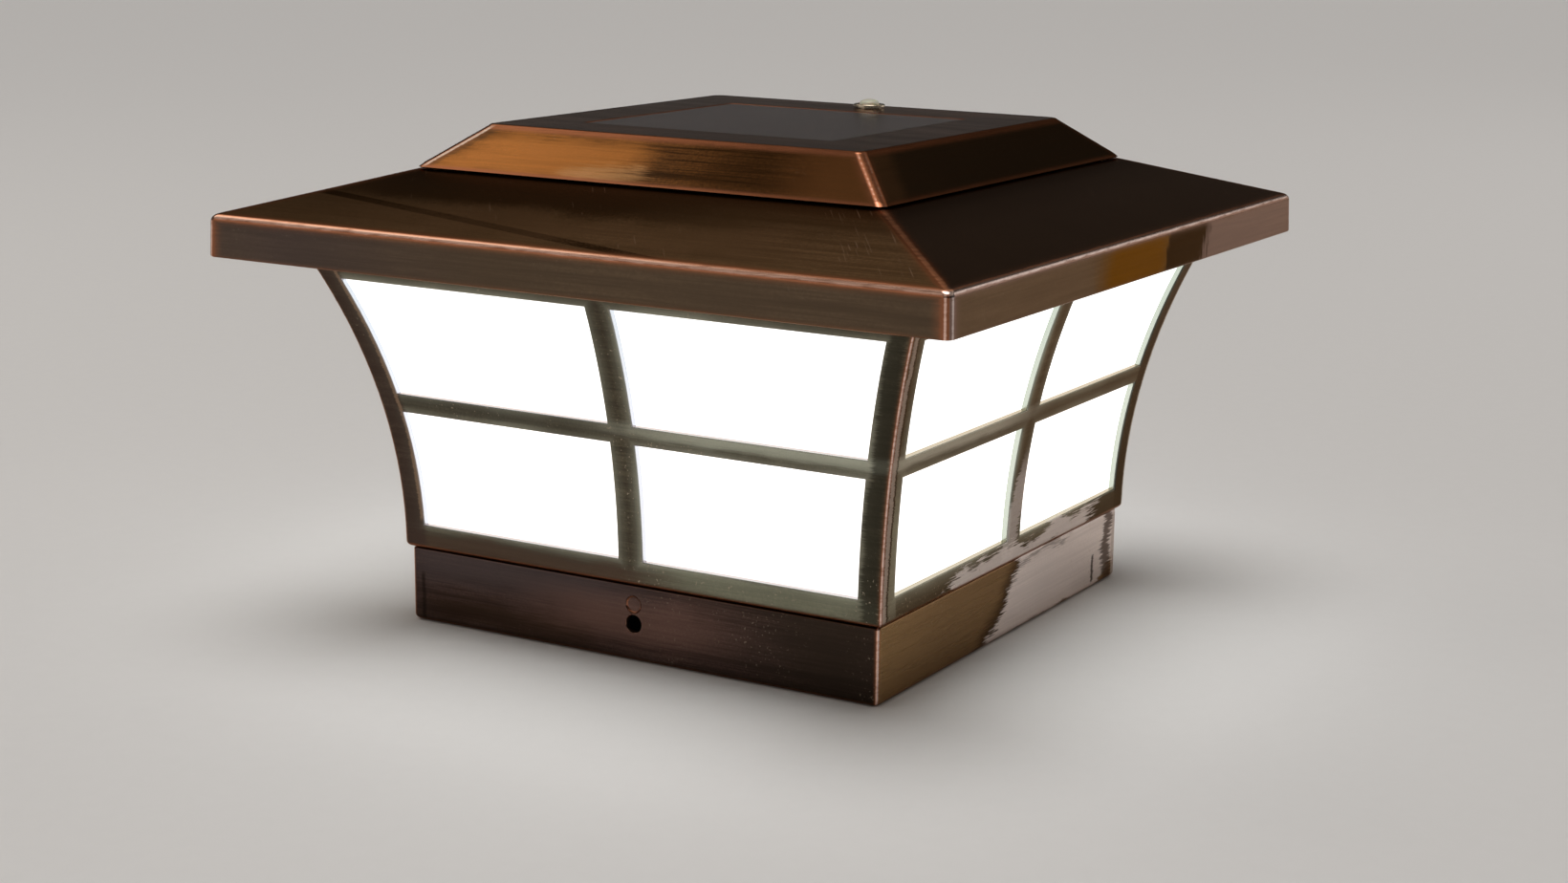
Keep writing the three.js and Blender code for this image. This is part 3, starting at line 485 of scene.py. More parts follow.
FRAME_PATCHES = [
    ("side", (-38, 52), (20, 27.2), 1.2, 0.6, 0.8, 36, 0.8, MAUVE, 0.1),
    ("side", (-4, 4), (22, 50), 0.8, 6, 0.3, 8, 0.5, MAUVE),
    ("side", (54, 110), (20, 40), 6, 3, 0.3, 30, 0.8, (0.040, 0.037, 0.028)),
    # Painted glow of the lit lenses: a pale band over the upper part of the side walls' middle bar.
    ("side", (-90, -5), (63.4, 66.9), 20, 1.2, 0, 6, 0.85, (0.52, 0.50, 0.41)),
    ("side_near", (0.8, 2.9), (22.4, 106), 0.3, 0.5, 0, 2.5, 0.85, (0.42, 0.34, 0.29)),
    ("side_near", (2.9, 3.6), (22.4, 106), 0.15, 0.5, 0, 1.5, 0.8, NEAR_BLACK),
    ("side_near", (3.7, 8), (22.4, 60), 0.3, 14, 0, 2, 0.6, (0.36, 0.34, 0.25)),
    # Painted reflection: a dark band in from the far corner of the side walls.
    ("side_far", (1.7, 7.3), (22, 106), 0.3, 1, 0, 1.5, 0.85, (0.026, 0.024, 0.018)),
    # Painted highlight: a pale line down that corner.
    ("side_far", (-1, 1.7), (22, 106), 0.3, 0.5, 0, 1.0, 0.8, (0.62, 0.58, 0.50)),
    ("front", (-80, 10), (21, 26.5), 20, 1.5, 0, 16, 0.8, (0.105, 0.066, 0.045)),
    ("front", (10, 75), (22, 28.5), 14, 1.5, 0, 8, 0.5, (0.30, 0.31, 0.22)),
    # Painted glow of the lit lenses: a pale band over the upper part of the front and back walls' middle bar.
    ("front", (5, 90), (63.4, 66.9), 26, 1.2, 0, 6, 0.75, (0.52, 0.53, 0.42)),
    ("front", (-90, -12), (62.6, 67.4), 26, 0.5, 0, 4, 0.45, (0.060, 0.058, 0.044)),
    ("front_near", (1.0, 6.2), (22.4, 106), 1.0, 1, 0, 4, 0.8, (0.034, 0.031, 0.020)),
    ("front_far", (1.0, 8), (20, 106), 1.0, 1, 0, 4, 0.75, (0.070, 0.043, 0.035)),
    # Painted highlight: a pale line down the far corner of the front and back walls.
    ("front_far", (-1, 0.9), (22, 106), 0.25, 0.5, 0, 1, 0.7, (0.46, 0.30, 0.24)),
    ("front_far", (6.2, 7.4), (30, 106), 0.2, 1, 0, 1.5, 0.7, (0.34, 0.22, 0.14)),
]
ROOF_PATCHES = [
    ("side", (-120, -30), (100, 115.6), 9, 0.5, 0, 8, 0.75, (0.175, 0.120, 0.080)),
    # Painted reflection: a golden patch on the side fascias.
    ("side", (-27, 15), (100, 115.2), 7, 0.4, 0.3, 8, 1.0, GOLD_REFLECTION),
    ("side", (14, 44), (100, 115.2), 1.6, 0.4, 0.3, 12, 1.0, (0.006, 0.003, 0.002)),
    ("side", (41.5, 120), (100, 115.2), 0.6, 0.4, 0.3, 16, 0.9, (0.29, 0.205, 0.180)),
    ("side", (-120, 120), (116.6, 128), 2, 0.4, 0, 2, 0.6, (0.115, 0.088, 0.080)),
    ("front", (-120, 120), (100, 114.6), 1, 1, 0, 0, 0.75, (0.105, 0.074, 0.050)),
    ("front", (-120, -50), (100, 115), 40, 0.8, 0, 10, 0.7, (0.088, 0.064, 0.060)),
    # Painted reflection: a thin dark slanting line across the front and back slopes.
    ("front", (-43, -27), (116.3, 122.6), 1.2, 0.4, -20.1, 2, 1.0, (0.004, 0.003, 0.002)),
    ("front", (-70, 60), (117.5, 122), 30, 2, 0, 30, 0.35, (0.30, 0.18, 0.10)),
    # Painted shade of the crown on the front and back slopes, along its foot.
    ("front", (-90, 24), (122.2, 130), 26, 1.2, 0, 6, 0.85, NEAR_BLACK),
]
CROWN_PATCHES = [
    ("front", (44, 80), (127, 138.9), 12, 0.6, 0, 8, 0.6, (0.27, 0.110, 0.036)),
    # Partly painted highlight: an orange patch, tan at its lower end, for a warm light's reflection on the
    # front and back walls.
    ("front", (-61, -4), (127.6, 138.2), 9, 2.4, 1.3, 14, 0.95, ORANGE_HIGHLIGHT),
    ("front", (-24, -3), (128, 131.5), 5, 1.5, 0.86, 20, 0.6, TAN_HIGHLIGHT),
    ("front_far", (2.4, 6), (128, 139), 1.2, 0.5, 0, 5, 0.6, (0.10, 0.052, 0.026)),
    # Painted highlight: a near-white line down the far corner of the front and back walls.
    ("front_far", (-2.5, 3.2), (128, 139.5), 0.4, 0.3, 0, 1, 0.95, (0.95, 0.86, 0.76)),
    # Painted highlight: a pale line down the far corner of the side walls.
    ("side_far", (-2.5, 1.0), (128, 139.5), 0.4, 0.3, 0, 1, 0.7, (0.50, 0.40, 0.33)),
    # Painted shade: the side walls darkened all over.
    ("side", (-80, 80), (126, 138.9), 4, 0.6, 0, 5, 0.8, (0.052, 0.042, 0.030)),
    ("side_near", (-2, 13), (126, 138.9), 4, 0.6, 0, 5, 0.7, (0.20, 0.105, 0.050)),
]

# Wear against height, and against the distance from a corner's middle; on the roof's and crown's corners the
# two peaks either side of the middle are painted highlights.
COLLAR_LEVELS = stops_mm((0, 0.3), (0.5, 0.25), (1.2, 0.0), (20.3, 0.0), (20.9, 0.15))
COLLAR_CORNER_LINE = stops_mm((0, 1.0), (0.35, 0.9), (0.8, 0.25), (1.6, 0.0))
FRAME_LEVELS = stops_mm((21.4, 0.15), (21.75, 0.4), (22.0, 0.6), (22.3, 0.3), (22.8, 0.0))
FRAME_CORNER_LINE = stops_mm((0, 0.95), (0.3, 0.8), (0.6, 0.25), (1.2, 0.08), (2.0, 0.0))
ROOF_LEVELS = stops_mm((104.7, 0.3), (105.3, 0.12), (106.2, 0), (112.6, 0), (114.0, 0.12), (114.8, 0.4),
                       (115.4, 0.9), (116.2, 1.0), (116.4, 0.5), (116.6, 0.2), (117.1, 0))
ROOF_CORNER_WEAR_AND_GLINTS = stops_mm((0, 0.5), (0.7, 0.52), (1.15, 0.95), (1.5, 1.0), (1.95, 0.5), (3.2, 0.24),
                            (6.0, 0.0))
ROOF_HIP_LINE = stops_mm((0, 0.95), (0.8, 0.85), (1.8, 0.4), (3.2, 0.15), (6.0, 0.0))
# Painted shade on the roof's slopes, deepening towards the crown's foot.
ROOF_CREASE_SHADE = stops_mm((122.5, 0), (125.5, 0.4), (126.6, 0.9), (127.6, 0.95))
CROWN_LEVELS = stops_mm((127.9, 0.55), (128.5, 0.5), (129.2, 0.1), (129.8, 0.0), (137.8, 0.0), (138.8, 0.45),
                        (139.5, 0.52), (139.66, 0.4), (139.7, 0.0))
CROWN_CORNER_WEAR_AND_GLINTS = stops_mm((0, 0.42), (0.6, 0.44), (1.1, 0.66), (1.6, 0.64), (2.1, 0.4), (3.4, 0.2),
                             (5.5, 0.0))

finishes = {
    "collar": antique_copper("antique_copper_collar", (0.040, 0.024, 0.020), (0.100, 0.060, 0.049),
                             COLLAR_PATCHES, COLLAR_LEVELS, COLLAR_CORNER_LINE, speckle=0.3, streak=1.2),
    "frame": antique_copper("antique_copper_frame", (0.046, 0.036, 0.024), (0.125, 0.102, 0.066),
                            FRAME_PATCHES, FRAME_LEVELS, FRAME_CORNER_LINE, speckle=0.8, streak=0.8,
                            panes=True),
    "roof": antique_copper("antique_copper_roof", (0.105, 0.064, 0.032), (0.240, 0.152, 0.082),
                           ROOF_PATCHES, ROOF_LEVELS, ROOF_CORNER_WEAR_AND_GLINTS, speckle=0.15,
                           strokes=(1500, 120), hip=ROOF_HIP_LINE, fold=FASCIA_TOP, crease_shade=ROOF_CREASE_SHADE,
                           scratches=0.7),
    # The crown's colours are more orange than the other pieces', partly as painted highlight of a warm light.
    "crown": antique_copper("antique_copper_crown", (0.036, 0.016, 0.006), (0.200, 0.084, 0.027),
                            CROWN_PATCHES, CROWN_LEVELS, CROWN_CORNER_WEAR_AND_GLINTS, speckle=0.1, streak=1.4,
                            crest=139.65 * MM),
    "lens": frosted_lens(),
    "white": moulding("white_plastic", (0.74, 0.73, 0.68), (0.80, 0.79, 0.75), 0.42),
    "panel_black": moulding("panel_black", (0.012, 0.012, 0.014), (0.022, 0.022, 0.025), 0.4),
    "silicon": silicon(),
    "glass": cover_glass(),
    "silicone": silicone(),
    "nickel": plated("nickel_plate", (0.70, 0.62, 0.48), (0.55, 0.46, 0.34), 0.14),
    "board": circuit_board(),
    "sleeve": sleeve(),
    "winding": plated("enamelled_wire", (0.62, 0.24, 0.10), (0.45, 0.15, 0.06), 0.26),
    "zinc": plated("zinc_screw", (0.56, 0.58, 0.62), (0.42, 0.44, 0.46), 0.24),
    "led": moulding("led_lens", (0.95, 0.90, 0.55), (0.98, 0.95, 0.75), 0.14, 700, 0.6),
    "black": moulding("black_plastic", (0.014, 0.014, 0.014), (0.028, 0.027, 0.026), 0.45),
    "gasket": moulding("gasket_rubber", (0.010, 0.010, 0.010), (0.022, 0.022, 0.022), 0.75, 900),
    "red": moulding("wire_red", (0.42, 0.015, 0.015), (0.52, 0.03, 0.025), 0.4),
    "wire_black": moulding("wire_black", (0.010, 0.010, 0.010), (0.02, 0.02, 0.02), 0.4),
}

# ---- Mesh building ----

ARC_STEPS = 12
CIRCLE_STEPS = 32


def arc(centre, radius, start, end, steps):
    """Points of an arc in a plane of two coordinates, angles in degrees."""
    turns = [math.radians(start + (end - start) * i / steps) for i in range(steps + 1)]
    return [(centre[0] + radius * math.cos(t), centre[1] + radius * math.sin(t)) for t in turns]


def square_ring(half, radius):
    """A square with rounded corners, counter-clockwise."""
    inset = half - radius
    ring = []
    for i, middle in enumerate(((inset, -inset), (inset, inset), (-inset, inset), (-inset, -inset))):
        ring += arc(middle, radius, 90 * i - 90, 90 * i, ARC_STEPS)
    return ring


def in_scene(name, data):
    """A new object in the scene."""
    made = bpy.data.objects.new(name, data)
    bpy.context.scene.collection.objects.link(made)
    return made


def on_wall(wall, across, out, height):
    """A place on wall 0 to 3: front, right, back and left."""
    x, y = across, -out
    for _ in range(wall):
        x, y = -y, x
    return (x, y, height)


class Skin:
    """A mesh under construction, with brush coordinates, and wear and painted lens glow at each vertex."""

    def __init__(self):
        self.bm = bmesh.new()
        self.uv = self.bm.loops.layers.uv.new("brush")
        self.wear = self.bm.verts.layers.float.new("wear")
        self.bare = self.bm.verts.layers.float.new("bare")

    def vertex(self, place, wear=0.0, bare=0.0):
        made = self.bm.verts.new(place)
        made[self.wear] = wear
        made[self.bare] = bare
        return made

    def face(self, corners, brush):
        """A face with its brush coordinates, leaving out corners that repeat."""
        kept = [(v, uv) for i, (v, uv) in enumerate(zip(corners, brush)) if v is not corners[i - 1]]
        if len(kept) < 3:
            return
        made = self.bm.faces.new([v for v, _ in kept])
        for loop, (_, uv) in zip(made.loops, kept):
            loop[self.uv].uv = uv

    def loft(self, profile, radius, closed=True, skip=None):
        """Joins square rings with rounded corners, one for each (half width, height). Returns them."""
        rings, lengths = [], []
        for half, height in profile:
            run = [0.0]
            outline = square_ring(half, radius)
            for (x0, y0), (x1, y1) in zip(outline, outline[1:] + outline[:1]):
                run.append(run[-1] + math.hypot(x1 - x0, y1 - y0))
            rings.append([self.vertex((x, y, height)) for x, y in outline])
            lengths.append(run)
        climb = 0.0
        for i in range(len(rings) - (0 if closed else 1)):
            nxt = (i + 1) % len(rings)
            (h0, z0), (h1, z1) = profile[i], profile[nxt]
            top = climb + math.hypot(h1 - h0, z1 - z0)
            for j in range(len(rings[i])):
                if skip and skip(i, j):
                    continue
                k = (j + 1) % len(rings[i])
                corners = (rings[i][j], rings[i][k], rings[nxt][k], rings[nxt][j])
                brush = ((lengths[i][j], climb), (lengths[i][j + 1], climb),
                         (lengths[nxt][j + 1], top), (lengths[nxt][j], top))
                self.face(corners, brush)
            climb = top
        return rings

    def ring(self, points, wear=0.0):
        return [self.vertex(p, wear) for p in points]

    def join(self, first, second):
        """A band of faces between two loops with the same number of vertices."""
        for j in range(len(first)):
            k = (j + 1) % len(first)
            corners = (first[j], first[k], second[k], second[j])
            self.face(corners, [flat_brush(v.co) for v in corners])

    def stack(self, loops, capped=False):
        """Joins each loop to the next one, and covers the first and last if they are caps."""
        for first, second in zip(loops, loops[1:]):
            self.join(first, second)
        if capped:
            self.cover(loops[0])
            self.cover(loops[-1])

    def cover(self, *loops):
        """Fills a flat outline, with holes, between loops of vertices."""
        everyone = [v for loop in loops for v in loop]
        for triangle in tessellate_polygon([[v.co for v in loop] for loop in loops]):
            corners = [everyone[i] for i in triangle]
            self.face(corners, [flat_brush(v.co) for v in corners])

    def piece(self, name, finish, body, stands_for, sharp=38):
        """Turns the skin into a piece that rides on a body and stands for CAD nodes."""
        bmesh.ops.remove_doubles(self.bm, verts=self.bm.verts, dist=1e-7)
        bmesh.ops.recalc_face_normals(self.bm, faces=self.bm.faces)
        for edge in self.bm.edges:
            edge.smooth = len(edge.link_faces) == 2 and edge.calc_face_angle() < math.radians(sharp)
        for face in self.bm.faces:
            face.smooth = True
        mesh = bpy.data.meshes.new(name)
        self.bm.to_mesh(mesh)
        self.bm.free()
        mesh.materials.append(finishes[finish])
        made = in_scene(name, mesh)
        weighted = made.modifiers.new("even_shading", "WEIGHTED_NORMAL")
        weighted.keep_sharp = True
        weighted.weight = 100
        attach(made, body)
        if stands_for:
            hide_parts(*stands_for)
        return made


def flat_brush(place):
    """Brush coordinates away from the lofted walls: across, and up with a little of the way back."""
    return (place.x + place.y, place.z + 0.37 * place.y)


def circle(centre, radius, depth, side):
    """Points of a circle in the front or back wall (side -1 or 1), at a distance y from the middle."""
    return [(x, side * depth, z) for x, z in arc(centre, radius, 0, 360, CIRCLE_STEPS)[:-1]]


# ---- The metal shells ----


def collar_pressing():
    """The skirt, with a screw hole and a closed dimple in its front and back walls."""
    skin = Skin()
    half, top = collar_high.x, collar_high.z
    hem, lip = 1.5 * MM, 0.7 * MM
    profile = [
        *arc((half - hem, hem), hem, -90, 0, 6),
        *arc((half - lip, top - lip), lip, 0, 90, 5),
        (LEDGE_INNER_HALF, top), (LEDGE_INNER_HALF, top - WALL), (half - WALL, top - WALL),
        (half - WALL, 0),
    ]
    pierced = (6, len(profile) - 2)
    front, back = 4 * (ARC_STEPS + 1) - 1, 2 * (ARC_STEPS + 1) - 1
    rings = skin.loft(profile, COLLAR_CORNER, skip=lambda i, j: i in pierced and j in (front, back))

    def round_rings(centre, side, *rows):
        """Rings round a hole: for each, how far it is wider than the screw hole, its depth and wear."""
        return [skin.ring(circle(centre, SCREW_HOLE_RADIUS + wider, half - depth, side), wear)
                for wider, depth, wear in rows]

    burr = 0.12 * MM
    for side, j in ((-1, front), (1, back)):
        k = (j + 1) % len(rings[0])
        outside, inside = ([rings[i][j], rings[i][k], rings[i + 1][k], rings[i + 1][j]] for i in pierced)
        hole = round_rings(SCREW_HOLE, side, (burr, 0, 0), (0, burr, 1.0), (0, WALL, 0.7))
        dimple = round_rings(DIMPLE, side, (0.05 * MM, 0, 0), (-0.25 * MM, 0.7 * DIMPLE_DEPTH, 0.5),
                             (-0.7 * MM, DIMPLE_DEPTH, 0))
        skin.cover(outside, hole[0], dimple[0])
        skin.cover(inside, hole[-1])
        skin.cover(dimple[-1])
        skin.stack(hole)
        skin.stack(dimple)
    return skin.piece("collar_pressing", "collar", "lantern", ["base_collar"])


def window_casting():
    """The flared frame: four walls of two by two panes, with softly rounded pane edges."""
    skin = Skin()
    low, high = frame_low.z, frame_high.z
    lip, hem = 0.7 * MM, 1.5 * MM
    sub_rows, edge_steps = 7, 4
    pane_bands = {1 + row * (sub_rows + 1) + i for row in range(2) for i in range(sub_rows)}

    def spread(row, edge):
        """Heights up a row of panes that is grown by an edge."""
        first, last = PANE_ROWS[row][0] - edge, PANE_ROWS[row][1] + edge
        return [first + (last - first) * i / sub_rows for i in range(sub_rows + 1)]

    def corner_places(wall, half, height):
        """Places round the wall's right-hand corner."""
        middle = half - FRAME_CORNER
        turn = arc((middle, -middle), FRAME_CORNER, -90, 0, ARC_STEPS)
        return [on_wall(wall, x, -y, height) for x, y in turn]

    def wall_grid(set_in, edge, start, end, bare):
        """Vertices of one skin: for each height its four walls, and the corners that join them."""
        grid = []
        for height in (start, *spread(0, edge), *spread(1, edge), end):
            half = flare(height) - set_in
            pane = flare(height) - STILE
            marks = (-pane - edge, -MUNTIN / 2 + edge, MUNTIN / 2 - edge, pane + edge)
            arcs = [[skin.vertex(spot) for spot in corner_places(wall, half, height)] for wall in range(4)]
            walls = []
            for wall in range(4):
                middle = [skin.vertex(on_wall(wall, across, half, height), 0.0, bare) for across in marks]
                walls.append([arcs[wall - 1][-1], *middle, arcs[wall][0]])
            grid.append((walls, arcs))
        return grid

    def fill_grid(grid):
        for i, (below, above) in enumerate(zip(grid, grid[1:])):
            for wall in range(4):
                for part, (low_row, high_row) in enumerate(zip(below, above)):
                    for j in range(len(low_row[wall]) - 1):
                        if part == 0 and i in pane_bands and j in (1, 3):
                            continue
                        corners = (*low_row[wall][j:j + 2], *reversed(high_row[wall][j:j + 2]))
                        skin.face(corners, [wall_brush(wall, v.co) for v in corners])

    def wall_brush(wall, place):
        """Brush coordinates: along the wall and up, with each wall's stretch of its own."""
        along = (place.x, place.y, -place.x, -place.y)[wall]
        return (along + 0.2 * wall, place.z)

    # The last argument is the painted glow of the lit lenses: none on the outer skin, all over the inner one.
    outer = wall_grid(0.0, PANE_EDGE, low + hem, high - lip, 0.0)
    inner = wall_grid(WALL, 0.0, low + WALL, high, 1.0)
    fill_grid(outer)
    fill_grid(inner)

    def round_pane(left, right):
        """A loop from a pane's lower left corner, counter-clockwise."""
        return [left[0], *right, *left[:0:-1]]

    def pane_border(wall, grid, row, column):
        """A skin's vertices round one pane."""
        start = 1 + row * (sub_rows + 1)
        levels = [walls[wall] for walls, _ in grid[start:start + sub_rows + 1]]
        return round_pane([marks[column] for marks in levels], [marks[column + 1] for marks in levels])

    def pane_ring(wall, row, column, share):
        """Vertices round one pane's rounded edge, from the outer face (0) to the opening (1)."""
        turn = math.radians(90 * share)
        out, deep = PANE_EDGE * (1 - math.sin(turn)), PANE_EDGE * (1 - math.cos(turn))
        left, right = [], []
        for height in spread(row, out):
            bar, stile = MUNTIN / 2 - out, flare(height) - STILE + out
            first, last = (bar, stile) if column == 3 else (-stile, -bar)
            left.append((first, height))
            right.append((last, height))
        # The painted lens glow grows across the pane edge towards the opening.
        return [skin.vertex(on_wall(wall, across, flare(height) - deep, height), 0.0, share**2)
                for across, height in round_pane(left, right)]

    for wall in range(4):
        for row in range(2):
            for column in (1, 3):
                rings = [pane_ring(wall, row, column, k / edge_steps) for k in range(1, edge_steps + 1)]
                borders = [pane_border(wall, grid, row, column) for grid in (outer, inner)]
                skin.stack([borders[0], *rings, borders[1]])

    def around(level):
        """All the vertices round one level of a skin."""
        walls, arcs = level
        return [v for wall in range(4) for v in walls[wall][:-1] + arcs[wall][:-1]]

    def rim(profile, start):
        """Carries the outline from one loop of vertices round a rim's profile."""
        loops = [start]
        for half, height in profile:
            straight = half - FRAME_CORNER
            pane = min(flare(low) - STILE, straight)
            marks = (-straight, -pane, -MUNTIN / 2, MUNTIN / 2, pane)
            loop = []
            for wall in range(4):
                loop += [on_wall(wall, across, half, height) for across in marks]
                loop += corner_places(wall, half, height)[:-1]
            loops.append(skin.ring(loop))
        skin.stack(loops)
        return loops[-1]

    ledge = LEDGE_INNER_HALF + 1 * MM
    foot = arc((flare(low + hem) - hem, low + hem), hem, 0, -90, 6)[1:]
    foot += [(ledge, low), (ledge, low + WALL)]
    skin.join(rim(foot, around(outer[0])), around(inner[0]))
    crest = arc((flare(high - lip) - lip, high - lip), lip, 0, 90, 4)[1:]
    skin.join(rim(crest, around(outer[-1])), around(inner[-1]))
    return skin.piece("window_casting", "frame", "lantern", ["window_frame"])


def roof_pressing():
    """The hipped roof: fascia, slopes and the level seat under the crown."""
    skin = Skin()
    half, low, top = roof_high.x, roof_low.z, roof_high.z
    edge, lip = 2 * MM, 0.5 * MM
    slope = math.degrees(math.atan2(top - FASCIA_TOP, FASCIA_TOP_HALF - SEAT_HALF))
    drop = WALL / math.cos(math.radians(slope))
    shoulder = arc((FASCIA_TOP_HALF - edge, FASCIA_TOP - edge + 0.4 * MM), edge, 4, 90 - slope, 8)
    profile = [
        *arc((half - lip, low + lip), lip, -90, 0, 4),
        *shoulder,
        (SEAT_HALF, top), (SEAT_INNER_HALF, top), (SEAT_INNER_HALF, top - WALL),
        (SEAT_HALF - 0.5 * MM, top - WALL), (FASCIA_TOP_HALF - WALL, FASCIA_TOP - drop),
        (half - WALL, low),
    ]
    skin.loft(profile, ROOF_CORNER)
    return skin.piece("roof_pressing", "roof", "head", ["roof_pan"])


def crown_pressing():
    """The raised crown: a truncated pyramid with a recess for the solar panel in its top."""
    skin = Skin()
    foot, low, top = crown_high.x, crown_low.z, crown_high.z
    edge, lip, hem, seat = 1.2 * MM, 0.4 * MM, 0.3 * MM, 2.9 * MM
    inner_top = top - WALL
    outside = [
        (foot - seat, low), (foot - lip, low), (foot, low + hem), (foot - 2 * hem, low + 3 * hem),
        (foot - 4 * hem, low + 5 * hem), *arc((CROWN_TOP_HALF - edge + hem, top - edge), edge, 35, 90, 6),
    ]
    rings = skin.loft(outside, CROWN_CORNER, closed=False)
    inside = [(CROWN_TOP_HALF - 1.3 * MM, inner_top), (foot - seat, low)]
    inner_rings = skin.loft(inside, CROWN_CORNER, closed=False)
    reach_x = (glass_high.x - glass_low.x) / 2 + RECESS_GAP
    middle_y = (glass_high.y + glass_low.y) / 2
    reach_y = (glass_high.y - glass_low.y) / 2 + RECESS_GAP

    def rectangle(grow, height, wear=0.0):
        x, y = reach_x + grow, reach_y + grow
        corners = ((-x, -y), (x, -y), (x, y), (-x, y))
        return skin.ring([(a, middle_y + b, height) for a, b in corners], wear)

    def round_hole(height):
        edge_points = arc((0, BUTTON_Y), NECK_HOLE_RADIUS, 0, 360, 40)[:-1]
        return skin.ring([(x, y, height) for x, y in edge_points])

    brim, pan_wall, pan_floor = 0.35 * MM, 1.6 * MM, 1.3 * MM
    recess = [rectangle(brim, top), rectangle(0.0, top - brim, 0.35), rectangle(0.0, RECESS_FLOOR)]
    hole = [round_hole(top), round_hole(inner_top)]
    pan = [rectangle(pan_wall, inner_top), rectangle(pan_wall, RECESS_FLOOR - pan_floor)]
    skin.cover(rings[-1], recess[0], hole[0])
    skin.cover(inner_rings[0], pan[0], hole[1])
    skin.cover(recess[-1])
    skin.cover(pan[1])
    for loops in (recess, hole, pan):
        skin.stack(loops)
    return skin.piece("crown_pressing", "crown", "head", ["crown_cap"])


def lens_mouldings():
    """Four curved lenses, one behind each wall of the frame."""
    steps = 20
    for wall, name in enumerate(("lens_front", "lens_right", "lens_back", "lens_left")):
        skin = Skin()
        loops = []
        for i in range(steps + 1):
            height = lens_low.z + (lens_high.z - lens_low.z) * i / steps
            loop = []
            for deep in (LENS_SETBACK, LENS_SETBACK + LENS_WALL):
                out = flare(height) - deep
                across = out - LENS_SIDE_GAP
                ends = (-across, across) if deep == LENS_SETBACK else (across, -across)
                loop += [on_wall(wall, end, out, height) for end in ends]
            loops.append(skin.ring(loop))
        skin.stack(loops, capped=True)
        skin.piece(name + "_moulding", "lens", "lantern", [name])


# ---- Small turned parts ----


def turned(name, outline, centre, finish, body, node, slot, steps=48, lying=False, close=None):
    """A round piece, upright or lying along X. The outline is (radius, place along the axis).

    close fills the outline's first loop, when it doesn't start on the axis.
    """
    skin = Skin()
    loops = []
    for radius, along in outline:
        places = arc(centre, radius, 0, 360, steps)[:-1] if radius > 0 else [centre]
        loop = [skin.vertex((along, *place) if lying else (*place, along)) for place in places]
        loops.append(loop * (steps // len(loop)))
    skin.stack(loops)
    if close:
        close(skin, loops[0])
    return skin.piece(name, finish, body, [node] if node else [], sharp=32)


def middle_of(node):
    """A node's middle seen from above, its radius, and its lowest and highest level."""
    low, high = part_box(node)
    return ((low.x + high.x) / 2, (low.y + high.y) / 2), (high.x - low.x) / 2, low.z, high.z


def button_parts():
    """The push button's cap and the bright bezel round it."""
    centre = (0, BUTTON_Y)
    radius, stem, skirt = 2.9 * MM, 1.5 * MM, crown_high.z - 1.5 * MM
    shoulder = bezel_high.z + 0.2 * MM
    rise = button_high.z - shoulder
    dome = [(radius * c, shoulder + rise * s) for c, s in arc((0, 0), 1, 0, 90, 10)[:-1]]
    cap = [(0, button_low.z), (stem, button_low.z), (stem, skirt), (radius, skirt), *dome, (0, button_high.z)]
    turned("button_cap", cap, centre, "silicone", "power_button", "power_button", "clear_silicone")
    flange, foot, top = bezel_high.x, bezel_low.z, bezel_high.z
    bore, neck, curl, bevel = 3.2 * MM, 3.9 * MM, 0.45 * MM, 0.35 * MM
    seat = crown_high.z + 0.3 * MM
    rim = arc((flange - curl, top - curl), curl, 0, 90, 6)
    ring = [(bore, foot), (neck, foot), (neck, seat), (flange, seat), *rim, (bore + bevel, top),
            (bore, top - bevel), (bore, foot)]
    turned("bezel_ring", ring, centre, "nickel", "head", "switch_bezel", "nickel_plate")


# ---- Small parts inside the lantern and the head ----


def screw(node, body, countersunk):
    """A screw, head down: a cross recess, a plain neck, and thread ridges up to its point."""
    centre, head, low, high = middle_of(node)
    crest, root, pitch, neck = 1.35 * MM, 1.05 * MM, 0.9 * MM, 1.2 * MM
    if countersunk:
        outline = [(head - 0.1 * MM, low), (head, low + 0.15 * MM), (crest, low + 1.75 * MM)]
    else:
        edge, seat = 0.9 * MM, low + 2 * MM
        outline = [*arc((head - edge, low + edge), edge, -90, 0, 6), (head, seat), (crest, seat)]
    turn, point = outline[-1][1] + neck, high - neck
    outline.append((crest, turn))
    while turn + pitch < point:
        outline += [(root, turn + 0.35 * pitch), (root, turn + 0.6 * pitch), (crest, turn + pitch)]
        turn += pitch
    outline += [(root, point), (0, high)]

    def cross_recess(skin, rim):
        short, reach, depth = 0.3 * MM, 0.6 * head, 1.1 * MM
        arm = ((short, -reach), (short, -short), (reach, -short))
        corners = [on_wall(quarter, x, -y, low)[:2] for quarter in range(4) for x, y in arm]
        mouth = skin.ring([(centre[0] + x, centre[1] + y, low) for x, y in corners])
        floor = skin.ring([(centre[0] + 0.5 * x, centre[1] + 0.5 * y, low + depth) for x, y in corners])
        skin.cover(rim, mouth)
        skin.join(mouth, floor)
        skin.cover(floor)

    turned(node + "_turned", outline, centre, "zinc", body, node, "zinc_screw", 32, close=cross_recess)


def led(node):
    """An LED: a round dome on a flange, its light end down."""
    centre, flange, low, high = middle_of(node)
    radius = flange - 0.4 * MM
    dome = arc((0, low + radius), radius, -90, 0, 12)
    outline = [(0, low), *dome[1:], (radius, high - MM), (flange, high - MM), (flange, high), (0, high)]
    turned(node + "_dome", outline, centre, "led", "head", node, "led_lens", 32)


